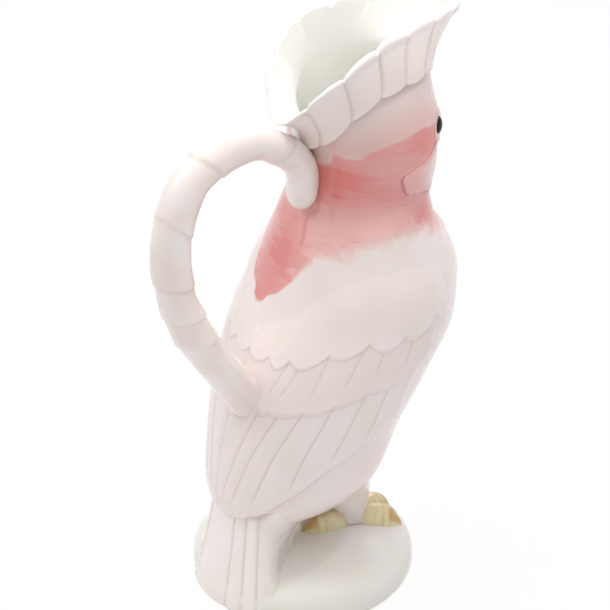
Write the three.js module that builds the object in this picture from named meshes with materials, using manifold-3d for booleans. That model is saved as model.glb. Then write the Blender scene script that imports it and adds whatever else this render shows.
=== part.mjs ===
import * as THREE from "three";
import { mergeVertices } from "three/addons/utils/BufferGeometryUtils.js";
import Module from "manifold-3d";

// A bird-shaped carafe of glazed earthenware. A cockatoo stands on a round plinth, its raised crest is the
// open pouring mouth, and a branch-like handle joins the nape to the middle of the back.
// Millimetres, +Z up. +X is the way the bird faces and pours, +Y is its left side, and the origin is on the
// table under the middle of the plinth. Heights of the bird are measured from the top of the plinth.

// Seams: the slip joint left between two luted pieces, and under each feather sheet
const SEAM = 0.3;
const SHEET_SEAT = 0.45;

// Plinth
const BASE_RADIUS = 59;
const BASE_HEIGHT = 20;
const BASE_FOOT_INSET = 2;
const BASE_WAIST = 6;
const BASE_SHOULDER = 20;

// Vessel wall, and the bird's sections from the belly to the crown. back, middle and front are X, half is
// half the width, at a height above the plinth
const WALL = 5;
const FLOOR = 7;
const BODY_SECTIONS = [
  { height: 14, back: -38, middle: -22, front: -8, half: 10 },
  { height: 22, back: -45, middle: -10, front: 15, half: 19 },
  { height: 32, back: -48, middle: -4, front: 33, half: 31 },
  { height: 46, back: -50, middle: -2, front: 43, half: 40.5 },
  { height: 70, back: -47.5, middle: 0, front: 56.5, half: 45 },
  { height: 95, back: -40.5, middle: 6, front: 74.5, half: 50.5 },
  { height: 120, back: -28, middle: 14, front: 93, half: 52.5 },
  { height: 140, back: -15.5, middle: 21, front: 94, half: 50.5 },
  { height: 160, back: -7.5, middle: 26, front: 87, half: 45.5 },
  { height: 177, back: -1, middle: 30, front: 75.5, half: 40 },
  { height: 192, back: 5, middle: 33, front: 72, half: 37 },
  { height: 210, back: 6, middle: 34, front: 75, half: 38.5 },
  { height: 227, back: 3, middle: 34, front: 77, half: 37.5 },
  { height: 242, back: 1, middle: 34, front: 75, half: 33.5 },
  { height: 254, back: 0, middle: 34, front: 73, half: 29.5 },
];

// Crest: the line where it leaves the head, and the oval rim of the mouth
const CREST_ROOT_FRONT = 254;
const CREST_ROOT_BACK = 224;
const CREST_ROOT_SWEEP = 5.5;
const CREST_PROUD = 2;
const RIM_THICKNESS = 3;
const RIM_MIDDLE = 25;
const RIM_BACK = -15;
const RIM_TIP = 104;
const RIM_HALF = 29;
const RIM_TIP_HEIGHT = 269;
const RIM_SIDE_HEIGHT = 275;
const RIM_BACK_HEIGHT = 244;
const LIP_POINT = 1.7;
const FLARE = 1.35;
const FLUTE_DEPTH = 1.6;
const FLUTE_FADE = 0.4;
const RIM_SCALLOP = 1.8;
const CREST_SPLITS = [32, 61, 76, 92, 121, 150, 180];

// Handle: a round limb from the nape, over an arch, to the back
const HANDLE_RADIUS = 9.6;
const HANDLE_UPPER_SEAT = 190;
const HANDLE_LOWER_SEAT = 97;
const HANDLE_TOP = 234;
const HANDLE_REACH = 81;
const HANDLE_STEP = 0.9;
const HANDLE_NODES = [0.17, 0.36, 0.5, 0.62, 0.7, 0.77];

// The arch of the handle: shares of its reach from the neck, and of its drop to the lower seat. The landing
// is a share of the way in to the back, and a sink is the share of the radius that lies inside the neck
const HANDLE_ARCH = [
  { reach: 0.2, drop: 0.05 },
  { reach: 0.46, drop: 0 },
  { reach: 0.82, drop: 0.055 },
  { reach: 0.985, drop: 0.22 },
  { reach: 0.985, drop: 0.44 },
  { reach: 0.86, drop: 0.64 },
];
const HANDLE_LANDING = { inwards: 0.55, drop: 0.83 };
const NAPE_SINK = 0.4;
const NECK_SINK = 0.25;

// Wings: three tiers of feathers a side. Rows are heights by angle from the beak, and the front edge and
// the back edge are angles
const WING_TOP_ROW = [
  [50, 148], [60, 160], [72, 166], [90, 169], [112, 170],
  [134, 167], [152, 158], [167, 146], [180, 132],
];
const COVERT_ROW = [[50, 139], [73, 137], [92, 135], [117, 133], [145, 125], [180, 122]];
const SECONDARY_ROW = [[50, 130], [73, 121], [88, 112], [113, 108], [144, 100], [180, 98]];
const PRIMARY_ROW = [
  [60, 103], [73, 94], [81, 87], [91, 80], [115, 68],
  [139, 51], [154, 41], [166, 36.5], [174, 35.5], [180, 38],
];
const WING_FRONT = { top: 61, coverts: 59, secondaries: 71, primaries: 74 };
const WING_BACK = 177.5;
const RELIEF = {
  coverts: { front: 4.2, back: 1.2, fullAt: 0.67, power: 1 },
  secondaries: { front: 3.6, back: 1.6, fullAt: 0.67, power: 1 },
  primaries: { front: 3, back: 6, fullAt: 1, power: 2 },
};
const COVERT_COUNT = 6;
const SECONDARY_COUNT = 7;
const FEATHER_SCALLOP = 3;

// A tier is thin at its top edge and at full relief at a share of its depth, and its relief changes from the
// front to the back between two shares of its length
const RELIEF_AT_TOP = 1;
const RELIEF_FADE = { from: 0.2, to: 0.65 };

// Tail: a fan that hangs from under the wing tips, down the back of the plinth
const TAIL_TOP = 34.8;
const TAIL_TOP_RADIUS = 51.5;
const TAIL_TOP_SPREAD = 20;
const TAIL_FOOT_SPREAD = 30;
const TAIL_PROUD = 1.2;
const TAIL_SKIRT = 9;
const TAIL_LIFT = 1;
const TAIL_FLARE = 1.2;

// The heel is where its inner side stands on the plinth, and the vent is where that side meets the belly
const TAIL_HEEL = 21;
const TAIL_VENT = 12.6;

// Legs and feet: where a leg stands, its thickness, and where each toe ends, with y measured outwards
const LEG_STANCE = { x: 23.5, y: 14 };
const LEG_FOOT_RADIUS = 8.5;
const LEG_TOP_RADIUS = 10.5;
const LEG_TOP = 36;
const TOE_THICKNESS = 11.5;
const CLAW_THICKNESS = 5;
const TOE_HEIGHT = 7.6;
const TOE_TIPS = [{ x: 0, y: 5 }, { x: 48, y: 13 }, { x: 41, y: 29 }];

// Face
const EYE_ANGLE = 45;
const EYE_HEIGHT = 223.5;
const EYE_RADIUS = 5.2;
const EYE_SUNK = 3.2;
const UPPER_BEAK_SECTIONS = [
  { height: 230, back: -5, front: 0, half: 3 },
  { height: 226, back: -5, front: 6, half: 8 },
  { height: 218, back: -5, front: 10, half: 10.5 },
  { height: 208, back: -4, front: 10.5, half: 9 },
  { height: 200, back: 2, front: 9.5, half: 5 },
  { height: 195, back: 4.5, front: 7, half: 1.5 },
];
const LOWER_BEAK_SECTIONS = [
  { height: 206, back: -6, front: 4, half: 6 },
  { height: 200, back: -6, front: 5, half: 7 },
  { height: 194, back: -6, front: 3, half: 5.5 },
  { height: 190, back: -6, front: -1, half: 2 },
];

// Facets
const AROUND = 48;
const WALL_ROW_COUNT = 22;
const WALL_ROW_CROWDING = 1.25;
const HANDLE_SIDES = 12;
const HANDLE_STATIONS = 30;
const LIMB_SIDES = 16;

const wasm = await Module();
wasm.setup();

const RIGHT = -1;
const LEFT = 1;
const radians = THREE.MathUtils.degToRad;
const { lerp, smoothstep } = THREE.MathUtils;

// A smooth curve through [place, value] pairs that never overshoots them
function curveThrough(pairs) {
  const steps = pairs.slice(1).map(([x, y], i) => {
    const wide = x - pairs[i][0];
    return { wide, slope: (y - pairs[i][1]) / wide };
  });
  const slopes = pairs.map((_, i) => knotSlope(steps[i - 1], steps[i]));
  return (x) => {
    const last = pairs.length - 2;
    const next = pairs.findIndex(([place]) => place >= x);
    const i = THREE.MathUtils.clamp(next < 0 ? last : next - 1, 0, last);
    const wide = steps[i].wide;
    const t = (x - pairs[i][0]) / wide;
    const rest = 1 - t;
    const start = pairs[i][1] * (1 + 2 * t) + slopes[i] * wide * t;
    const end = pairs[i + 1][1] * (1 + 2 * rest) - slopes[i + 1] * wide * rest;
    return start * rest * rest + end * t * t;
  };
}

function knotSlope(before, after) {
  if (!before || !after) {
    return (before ?? after).slope;
  }
  if (before.slope * after.slope <= 0) {
    return 0;
  }
  const wideAfter = 2 * after.wide + before.wide;
  const wideBefore = after.wide + 2 * before.wide;
  return (wideAfter + wideBefore) / (wideAfter / before.slope + wideBefore / after.slope);
}

const sectionCurve = (key) => curveThrough(BODY_SECTIONS.map((section) => [section.height, section[key]]));
const bodyBack = sectionCurve("back");
const bodyMiddle = sectionCurve("middle");
const bodyFront = sectionCurve("front");
const bodyHalf = sectionCurve("half");
const BODY_BOTTOM = BODY_SECTIONS[0].height;

// The bird's skin at an angle from the beak, in degrees, and a height, moved out by a distance
function bodyPoint(angle, height, out = 0) {
  const c = Math.cos(radians(angle));
  const s = Math.sin(radians(angle));
  const middle = bodyMiddle(height);
  const reach = c > 0 ? bodyFront(height) - middle : middle - bodyBack(height);
  return new THREE.Vector3(middle + (reach + out) * c, (bodyHalf(height) + out) * s, height);
}

// The height at which the crest leaves the head: level at the front, dipping at the nape
function crestRoot(angle) {
  const behind = (1 - Math.cos(radians(angle))) / 2;
  return CREST_ROOT_FRONT - (CREST_ROOT_FRONT - CREST_ROOT_BACK) * behind ** CREST_ROOT_SWEEP;
}

// A closed body from positions and triangles, welded, with its faces turned out
function closedGeometry(positions, triangles) {
  const loose = new THREE.BufferGeometry();
  loose.setAttribute("position", new THREE.Float32BufferAttribute(positions, 3));
  loose.setIndex(triangles);
  return turnedOut(loose);
}

function turnedOut(loose) {
  for (const name of ["normal", "uv"]) {
    loose.deleteAttribute(name);
  }
  const welded = mergeVertices(loose, 1e-4);
  const points = welded.getAttribute("position");
  const kept = [];
  let volume = 0;
  for (let i = 0; i < welded.index.count; i += 3) {
    const corners = [0, 1, 2].map((k) => welded.index.getX(i + k));
    if (new Set(corners).size === 3) {
      kept.push(...corners);
      const [a, b, c] = corners.map((k) => new THREE.Vector3().fromBufferAttribute(points, k));
      volume += a.dot(b.cross(c));
    }
  }
  welded.setIndex(volume < 0 ? kept.reverse() : kept);
  return welded;
}

// Carries an outline through stations from 0 to 1. place(point, station) puts one outline point in space.
// A closed sweep joins its last station to its first, and an open one is capped
function sweep(outline, stations, place, closed = false) {
  const count = outline.length;
  const positions = stations.flatMap((u) => outline.flatMap((point) => place(point, u).toArray()));
  const triangles = [];
  const spans = closed ? stations.length : stations.length - 1;
  for (let s = 0; s < spans; s++) {
    const next = (s + 1) % stations.length;
    for (let k = 0; k < count; k++) {
      const after = (k + 1) % count;
      const [a, b, c, d] = [s * count + k, s * count + after, next * count + after, next * count + k];
      triangles.push(a, b, c, a, c, d);
    }
  }
  if (!closed) {
    triangles.push(...sweepCaps(outline, spans * count));
  }
  return closedGeometry(positions, triangles);
}

function sweepCaps(outline, lastRing) {
  const turn = Math.sign(THREE.ShapeUtils.area(outline));
  return THREE.ShapeUtils.triangulateShape(outline, []).flatMap((corners) => {
    const area = THREE.ShapeUtils.area(corners.map((k) => outline[k]));
    const [a, b, c] = Math.sign(area) === turn ? corners : [...corners].reverse();
    return [a, c, b, lastRing + a, lastRing + b, lastRing + c];
  });
}

const evenly = (count) => Array.from({ length: count + 1 }, (_, i) => i / count);
const roundTheClock = (count) => Array.from({ length: count }, (_, i) => i / count);

// Rows of the wall, closer together round the belly
const WALL_ROWS = evenly(WALL_ROW_COUNT).map((share) => share ** WALL_ROW_CROWDING);

function circleOutline(sides) {
  return roundTheClock(sides).map((u) => {
    const turn = radians(360 * u);
    return new THREE.Vector2(Math.cos(turn), Math.sin(turn));
  });
}

// Booleans
function solidOf(geometry) {
  const vertProperties = geometry.getAttribute("position").array;
  const triVerts = new Uint32Array(geometry.index.array);
  return new wasm.Manifold(new wasm.Mesh({ numProp: 3, vertProperties, triVerts }));
}

function geometryOf(solid) {
  const { vertProperties, triVerts } = solid.getMesh();
  return closedGeometry(Array.from(vertProperties), Array.from(triVerts));
}

function cutAway(geometry, ...tools) {
  return geometryOf(tools.reduce((solid, tool) => solid.subtract(solidOf(tool)), solidOf(geometry)));
}

function joined(geometries) {
  return geometryOf(geometries.map(solidOf).reduce((whole, solid) => whole.add(solid)));
}

// Plinth: a low mound with a rounded side, turned about Z. grow makes the cutter that leaves a seam
function plinthGeometry(grow = 0) {
  const radius = BASE_RADIUS + grow;
  const top = BASE_HEIGHT + grow;
  const flat = radius - BASE_SHOULDER;
  const side = new THREE.Path();
  side.moveTo(0, 0);
  side.lineTo(radius - BASE_FOOT_INSET, 0);
  side.quadraticCurveTo(radius, BASE_WAIST / 3, radius, BASE_WAIST);
  side.bezierCurveTo(radius, lerp(BASE_WAIST, top, 0.75), lerp(radius, flat, 0.4), top, flat, top);
  side.lineTo(0, top);
  const mound = new THREE.LatheGeometry(side.getPoints(5), AROUND).rotateX(Math.PI / 2);
  return turnedOut(mound.translate(0, 0, -BASE_HEIGHT));
}

// A point of the wall between the belly and the crest's root, by its share of that rise
function wallPoint(angle, rise, from, out) {
  return bodyPoint(angle, lerp(from, crestRoot(angle), rise), out);
}

// The whole bird without crest, filled and moved out by a distance: it trims what is luted on to it
function bodyPlug(out) {
  const low = BODY_BOTTOM - out;
  const wall = WALL_ROWS.map((rise) => ({ rise, sunk: 0 }));
  const outline = [{ axis: low }, { rise: 0, sunk: out }, ...wall, { axis: CREST_ROOT_FRONT }];
  const place = (point, u) => {
    if ("axis" in point) {
      return new THREE.Vector3(bodyMiddle(point.axis), 0, point.axis);
    }
    const skin = wallPoint(360 * u, point.rise, BODY_BOTTOM, out);
    return skin.setZ(skin.z - point.sunk);
  };
  return sweep(outline, roundTheClock(AROUND), place, true);
}

// Body shell: torso, neck and head in one hollow wall, open at the top where the crest stands
function bodyShellGeometry() {
  const floorHeight = BODY_BOTTOM + FLOOR;
  const outer = WALL_ROWS.map((rise) => ({ rise, out: 0, from: BODY_BOTTOM }));
  const inner = evenly(12).map((rise) => ({ rise: 1 - rise, out: -WALL, from: floorHeight }));
  const outline = [{ axis: BODY_BOTTOM }, ...outer, ...inner, { axis: floorHeight }];
  const place = (point, u) => {
    if ("axis" in point) {
      return new THREE.Vector3(bodyMiddle(point.axis), 0, point.axis);
    }
    return wallPoint(360 * u, point.rise, point.from, point.out);
  };
  return sweep(outline, roundTheClock(AROUND), place, true);
}

// 0 at a split between two crest feathers, 1 at a feather's middle
function crestLobe(angle) {
  const away = Math.abs(THREE.MathUtils.euclideanModulo(angle + 180, 360) - 180);
  const k = CREST_SPLITS.findIndex((split) => split >= away);
  const start = k > 0 ? CREST_SPLITS[k - 1] : -CREST_SPLITS[0];
  return Math.sqrt(Math.sin(Math.PI * ((away - start) / (CREST_SPLITS[k] - start))));
}

// The outer edge of the mouth: pointed at the lip, oval behind, highest at the sides
function rimPoint(angle, inset) {
  const c = Math.cos(radians(angle));
  const s = Math.sin(radians(angle));
  const point = c > 0 ? LIP_POINT : 1;
  const reach = c > 0 ? RIM_TIP - RIM_MIDDLE : RIM_MIDDLE - RIM_BACK;
  const ends = (RIM_TIP_HEIGHT + RIM_BACK_HEIGHT) / 2;
  const level = (ends + RIM_SIDE_HEIGHT) / 2;
  const slope = (RIM_TIP_HEIGHT - RIM_BACK_HEIGHT) / 2;
  const height = level + slope * c + (ends - level) * Math.cos(2 * radians(angle));
  const y = Math.sign(s) * (RIM_HALF - inset) * Math.abs(s) ** point;
  return new THREE.Vector3(RIM_MIDDLE + (reach - inset) * c, y, height);
}

// A point of the crest wall, rise 0 at the head and 1 at the rim. inside is 1 on the inner face
function crestPoint(angle, rise, inside, grow) {
  const lobe = crestLobe(angle);
  const flute = inside ? 0 : FLUTE_DEPTH * (1 - lobe) * smoothstep(rise, 0, FLUTE_FADE) - grow;
  const root = bodyPoint(angle, crestRoot(angle), inside ? -WALL : CREST_PROUD - flute);
  root.z += SEAM - (inside ? 0 : grow);
  const rim = rimPoint(angle, inside ? RIM_THICKNESS : flute);
  rim.z += RIM_SCALLOP * (lobe - 1);
  const out = rise ** FLARE;
  return new THREE.Vector3(lerp(root.x, rim.x, out), lerp(root.y, rim.y, out), lerp(root.z, rim.z, rise));
}

// Crest spout: a fluted ring of upright feathers. grow makes the cutter that keeps the handle clear
function crestGeometry(grow = 0) {
  const inner = evenly(4).map((rise) => ({ rise, inside: 1 }));
  const outer = evenly(7).map((rise) => ({ rise: 1 - rise, inside: 0 }));
  const place = (point, u) => crestPoint(360 * u, point.rise, point.inside, grow);
  return sweep([...inner, ...outer], roundTheClock(AROUND), place, true);
}

// The handle's middle line, in the plane of symmetry, from the nape to the back
function handleLine() {
  const onBack = (height, sink) => {
    return new THREE.Vector3(bodyBack(height) - HANDLE_RADIUS * (1 - sink), 0, height);
  };
  const seat = new THREE.Vector3(bodyBack(HANDLE_LOWER_SEAT), 0, HANDLE_LOWER_SEAT);
  const nape = onBack(HANDLE_UPPER_SEAT, NAPE_SINK);
  const neck = onBack((HANDLE_UPPER_SEAT + HANDLE_TOP) / 2, NECK_SINK);
  const level = (drop) => lerp(HANDLE_TOP, HANDLE_LOWER_SEAT, drop);
  const arch = HANDLE_ARCH.map(({ reach, drop }) => {
    return new THREE.Vector3(lerp(neck.x, -HANDLE_REACH, reach), 0, level(drop));
  });
  const inwards = lerp(arch.at(-1).x, seat.x, HANDLE_LANDING.inwards);
  const landing = new THREE.Vector3(inwards, 0, level(HANDLE_LANDING.drop));
  return new THREE.CatmullRomCurve3([nape, neck, ...arch, landing, seat], false, "centripetal");
}

// The limb swells a little along each joint of the branch, then steps back at the node
function handleGeometry(grow = 0) {
  const line = handleLine();
  const length = line.getLength();
  const tip = HANDLE_RADIUS / length;
  const notch = HANDLE_STEP / length;
  const nodes = HANDLE_NODES.flatMap((node) => [node - notch, node + notch]);
  const roundEnd = [0, 0.08, 0.3, 0.6, 1].map((share) => share * tip);
  const limb = evenly(HANDLE_STATIONS).filter((u) => u > 1.3 * tip);
  const stations = [...roundEnd, ...limb, ...nodes].sort((a, b) => a - b);
  const place = (point, u) => {
    const tangent = line.getTangentAt(u);
    const short = 1 - Math.min(u / tip, 1);
    const node = HANDLE_NODES.filter((at) => at < u).pop() ?? 0;
    const following = HANDLE_NODES.find((at) => at >= u) ?? 1;
    const swell = HANDLE_STEP * ((u - node) / (following - node) - 0.5);
    const radius = (HANDLE_RADIUS + swell) * Math.sqrt(Math.max(1 - short * short, 0.01)) + grow;
    const away = new THREE.Vector3(-tangent.z, 0, tangent.x).multiplyScalar(point.x * radius);
    return line.getPointAt(u).add(away).add(new THREE.Vector3(0, point.y * radius, 0));
  };
  return sweep(circleOutline(HANDLE_SIDES), stations, place);
}

// The scalloped lower edge of a row of feathers
function featherEdge(row, count) {
  const level = curveThrough(row);
  return (angle) => {
    const feather = (count * (angle - WING_FRONT.top)) / (WING_BACK - WING_FRONT.top);
    const belly = Math.abs(Math.sin(Math.PI * feather));
    return level(angle) - FEATHER_SCALLOP * Math.sqrt(belly);
  };
}

const wingTop = curveThrough(WING_TOP_ROW);
const covertEdge = featherEdge(COVERT_ROW, COVERT_COUNT);
const secondaryEdge = featherEdge(SECONDARY_ROW, SECONDARY_COUNT);
const primaryEdge = curveThrough(PRIMARY_ROW);
const TIERS = {
  coverts: {
    top: wingTop,
    bottom: covertEdge,
    fronts: [WING_FRONT.top, WING_FRONT.coverts],
    relief: RELIEF.coverts,
  },
  secondaries: {
    top: covertEdge,
    bottom: secondaryEdge,
    fronts: [WING_FRONT.coverts, WING_FRONT.secondaries],
    relief: RELIEF.secondaries,
  },
  primaries: {
    top: secondaryEdge,
    bottom: primaryEdge,
    fronts: [WING_FRONT.secondaries, WING_FRONT.primaries],
    relief: RELIEF.primaries,
  },
};

// One tier of a wing: a curved sheet on the bird's skin that swells below its upper edge
function wingTierGeometry(tier, side) {
  const downs = evenly(5);
  const { fullAt, power } = tier.relief;
  const swell = (down) => Math.sin((Math.PI / 2) * Math.min(down / fullAt, 1) ** power);
  const outer = downs.map((down) => new THREE.Vector2(down, 1 + swell(down)));
  const inner = downs.map((down) => new THREE.Vector2(1 - down, 0));
  const place = (point, u) => {
    const angle = lerp(lerp(tier.fronts[0], tier.fronts[1], point.x), WING_BACK, u);
    const height = lerp(tier.top(angle) - SEAM, tier.bottom(angle), point.x);
    const fade = smoothstep(u, RELIEF_FADE.from, RELIEF_FADE.to);
    const relief = lerp(tier.relief.front, tier.relief.back, fade);
    const thickness = point.y > 0 ? lerp(RELIEF_AT_TOP, relief, point.y - 1) : 0;
    return bodyPoint(side * angle, height, SHEET_SEAT + thickness);
  };
  return sweep([...outer, ...inner], evenly(24), place);
}

// Tail fan: an outline of radius and height swept about the plinth's axis, wider at the foot
function tailGeometry(grow = 0) {
  const foot = -BASE_HEIGHT + TAIL_LIFT - grow;
  const seat = SEAM - grow;
  const footRadius = BASE_RADIUS + TAIL_PROUD + grow;
  const outer = evenly(6).map((down) => {
    const radius = lerp(TAIL_TOP_RADIUS + grow, footRadius, down ** TAIL_FLARE);
    return new THREE.Vector2(radius, lerp(TAIL_TOP, foot, down));
  });
  const skirt = BASE_RADIUS + TAIL_PROUD - TAIL_SKIRT - grow;
  const outline = [
    ...outer,
    new THREE.Vector2(skirt, foot),
    new THREE.Vector2(skirt, seat),
    new THREE.Vector2(TAIL_HEEL, seat),
    new THREE.Vector2((TAIL_HEEL + TAIL_VENT) / 2, lerp(seat, BODY_BOTTOM, 0.6)),
    new THREE.Vector2(TAIL_VENT, BODY_BOTTOM + SEAM),
    new THREE.Vector2(TAIL_HEEL, TAIL_TOP),
  ];
  const place = (point, u) => {
    const fall = (TAIL_TOP - point.y) / (TAIL_TOP - foot);
    const margin = THREE.MathUtils.radToDeg(grow / footRadius);
    const spread = lerp(TAIL_TOP_SPREAD, TAIL_FOOT_SPREAD, fall) + margin;
    const turn = radians(180 + spread * (2 * u - 1));
    return new THREE.Vector3(point.x * Math.cos(turn), point.x * Math.sin(turn), point.y);
  };
  return sweep(outline, evenly(10), place);
}

// Leg: a feathered trouser that narrows to the foot and comes down over the toes
function legGeometry(side) {
  const place = (point, u) => {
    const radius = lerp(LEG_FOOT_RADIUS, LEG_TOP_RADIUS, smoothstep(u, 0, 1));
    const height = lerp(SEAM, LEG_TOP, u);
    const [x, y] = [LEG_STANCE.x + radius * point.x, side * LEG_STANCE.y + radius * point.y];
    return new THREE.Vector3(x, y, height);
  };
  const trouser = sweep(circleOutline(LIMB_SIDES), evenly(6), place);
  return cutAway(trouser, bodyPlug(SEAM), footGeometry(side, SEAM));
}

// Toe: a fat finger from under the leg, with a claw at its tip, lying over the plinth's shoulder
function toeGeometry(tip, side, grow) {
  const reach = Math.hypot(tip.x - LEG_STANCE.x, tip.y - LEG_STANCE.y);
  const thick = TOE_THICKNESS / 2 + grow;
  const finger = new THREE.SphereGeometry(1, 12, 8).scale(reach / 2 + thick / 2, thick, TOE_HEIGHT + grow);
  const claw = new THREE.SphereGeometry(CLAW_THICKNESS / 2 + grow, 8, 6).scale(2, 1, 2);
  claw.translate(reach / 2 + CLAW_THICKNESS / 2, 0, 0);
  const turn = Math.atan2(side * (tip.y - LEG_STANCE.y), tip.x - LEG_STANCE.x);
  const middle = [(tip.x + LEG_STANCE.x) / 2, (side * (tip.y + LEG_STANCE.y)) / 2, 0];
  return [finger, claw].map((lump) => turnedOut(lump.rotateZ(turn).translate(...middle)));
}

function footGeometry(side, grow = 0) {
  const toes = joined(TOE_TIPS.flatMap((tip) => toeGeometry(tip, side, grow)));
  return cutAway(toes, plinthGeometry(SEAM - grow));
}

// Half of the beak: ovals stacked down the face. back and front are measured from the face at mid beak
function beakGeometry(sections, grow = 0) {
  const face = bodyFront(UPPER_BEAK_SECTIONS[2].height);
  const place = (point, u) => {
    const { height, back, front, half } = sections[Math.round(u * (sections.length - 1))];
    const reach = (front - back) / 2 + grow;
    return new THREE.Vector3(face + (front + back) / 2 + reach * point.x, (half + grow) * point.y, height);
  };
  return sweep(circleOutline(LIMB_SIDES), evenly(sections.length - 1), place);
}

function eyeGeometry(side) {
  const ball = new THREE.SphereGeometry(EYE_RADIUS, 16, 10);
  const seat = bodyPoint(side * EYE_ANGLE, EYE_HEIGHT, -EYE_SUNK);
  return cutAway(turnedOut(ball.translate(seat.x, seat.y, seat.z)), bodyPlug(SEAM));
}

// Glazes
const GLOSS = 0.12;
const glaze = (color, roughness = GLOSS) => {
  return new THREE.MeshStandardMaterial({ color, roughness, metalness: 0 });
};
const GLAZES = {
  plinth: glaze(0xdcd9d0),
  plumage: glaze(0xe6dcda),
  rose: glaze(0xdcb4b2),
  crest: glaze(0xe8dfdb),
  branch: glaze(0xe0d5d1),
  ochre: glaze(0xc9ae72, 0.2),
  black: glaze(0x15120f, 0.05),
};

const piece = (name, geometry, material) => {
  const mesh = new THREE.Mesh(geometry, material);
  mesh.name = name;
  return mesh;
};

function wingPieces(side, label) {
  const limb = handleGeometry(SEAM);
  return Object.entries(TIERS).map(([tierName, tier]) => {
    const sheet = cutAway(wingTierGeometry(tier, side), limb);
    return piece(`${label}_wing_${tierName}`, sheet, GLAZES.plumage);
  });
}

function sidePieces(side, label) {
  return [
    ...wingPieces(side, label),
    piece(`${label}_leg`, legGeometry(side), GLAZES.rose),
    piece(`${label}_foot`, footGeometry(side), GLAZES.ochre),
    piece(`${label}_eye`, eyeGeometry(side), GLAZES.black),
  ];
}

function beakPieces() {
  const upper = cutAway(beakGeometry(UPPER_BEAK_SECTIONS), bodyPlug(SEAM));
  const upperCutter = beakGeometry(UPPER_BEAK_SECTIONS, SEAM);
  const lower = cutAway(beakGeometry(LOWER_BEAK_SECTIONS), bodyPlug(SEAM), upperCutter);
  return [piece("upper_beak", upper, GLAZES.ochre), piece("lower_beak", lower, GLAZES.ochre)];
}

// The bird stands on top of the plinth
const bird = new THREE.Group();
bird.position.z = BASE_HEIGHT;
bird.add(
  piece("base_plinth", cutAway(plinthGeometry(), tailGeometry(SEAM)), GLAZES.plinth),
  piece("body_shell", bodyShellGeometry(), GLAZES.rose),
  piece("crest_spout", crestGeometry(), GLAZES.crest),
  piece("handle", cutAway(handleGeometry(), bodyPlug(SEAM), crestGeometry(SEAM)), GLAZES.branch),
  piece("tail_fan", cutAway(tailGeometry(), bodyPlug(SEAM)), GLAZES.plumage),
  ...beakPieces(),
  ...sidePieces(RIGHT, "right"),
  ...sidePieces(LEFT, "left"),
);

const carafe = new THREE.Group();
carafe.add(bird);

export default carafe;
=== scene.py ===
"""Bird-shaped carafe in hand-painted, clear-glazed earthenware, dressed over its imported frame.

Sizes are in millimetres. Heights are measured from the top of the plinth, and angles from the beak, in degrees,
growing towards the bird's left. Clay.fire turns both into the frame's metres.
"""

import logging
from collections.abc import Callable, Sequence
from dataclasses import dataclass
from enum import Enum
from functools import partial

import bmesh
import bpy
import numpy as np
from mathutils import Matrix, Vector


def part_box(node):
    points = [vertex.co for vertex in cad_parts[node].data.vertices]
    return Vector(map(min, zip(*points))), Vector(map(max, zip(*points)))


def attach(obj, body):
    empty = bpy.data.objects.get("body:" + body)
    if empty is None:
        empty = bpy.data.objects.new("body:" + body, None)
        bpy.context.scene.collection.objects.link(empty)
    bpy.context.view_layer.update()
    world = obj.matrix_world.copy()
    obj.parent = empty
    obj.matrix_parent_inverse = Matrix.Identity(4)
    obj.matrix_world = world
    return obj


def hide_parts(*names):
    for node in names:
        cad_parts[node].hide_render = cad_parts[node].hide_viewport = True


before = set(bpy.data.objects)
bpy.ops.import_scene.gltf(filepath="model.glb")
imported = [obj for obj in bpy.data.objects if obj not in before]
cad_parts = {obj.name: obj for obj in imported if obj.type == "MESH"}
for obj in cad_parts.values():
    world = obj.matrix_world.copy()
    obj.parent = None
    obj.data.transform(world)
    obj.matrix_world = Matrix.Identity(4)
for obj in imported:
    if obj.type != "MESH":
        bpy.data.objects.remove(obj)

log = logging.getLogger("carafe")

MM = 0.001
ROOT = "root"
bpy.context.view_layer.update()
_, PLINTH_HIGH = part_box("base_plinth")
_, PLINTH_RADIUS, PLINTH_HEIGHT = (size / MM for size in PLINTH_HIGH)

Array = np.ndarray
Span = tuple[float, float]
Triple = tuple[float, float, float]
Pairs = Sequence[Span]
Paint = dict[str, Array]


class Side(Enum):
    """A side of the bird and the sign of Y there."""

    RIGHT = -1
    LEFT = 1

    def node(self, name: str) -> str:
        """The name of the node on this side."""
        return f"{self.name.lower()}_{name}"


class Slot(Enum):
    """The record's glaze slots."""

    PLINTH = "plinth_glaze"
    ROSE = "rose_glaze"
    CREST = "crest_glaze"
    BRANCH = "branch_glaze"
    PLUMAGE = "plumage_glaze"
    OCHRE = "ochre_glaze"
    BLACK = "black_glaze"


def lerp(start: Array, end: Array, share: Array) -> Array:
    """The value at a share of the way from start to end."""
    return start + (end - start) * share


def ease(value: Array, low: float, high: float) -> Array:
    """0 below low, 1 above high, and a smooth step between them. low may be the greater one."""
    share = np.clip((value - low) / (high - low), 0, 1)
    return share * share * (3 - 2 * share)


def between(value: Array, ends: Pairs) -> Array:
    """1 between two ends and 0 beyond them, with a smooth step over the span of each end."""
    return ease(value, *ends[0]) * ease(value, *ends[1])


def hump(value: Array, middle: float, width: float) -> Array:
    """A soft hump of height 1 at middle, spent about two widths away."""
    return np.exp(-(((value - middle) / width) ** 2))


def half_wave(turn: Array) -> Array:
    """A share that starts and ends gently, from 0 to 1 over half a turn in radians."""
    return (1 - np.cos(turn)) / 2


def own_angle(angle: Array) -> Array:
    """The angle from the beak without its side, from 0 to 180."""
    return np.abs((angle + 180) % 360 - 180)


def steps(start: float, end: float, count: int) -> Array:
    """A column of even steps from start to end."""
    return np.linspace(start, end, count)[:, None]


def full_turn(count: int) -> Array:
    """A row of even angles all the way round, in radians."""
    return np.linspace(0, 2 * np.pi, count, endpoint=False)[None]


def joined(*parts: Array) -> Array:
    """Parts side by side in a new last axis, each spread to the shape of all."""
    return np.stack(np.broadcast_arrays(*parts), axis=-1)


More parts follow.
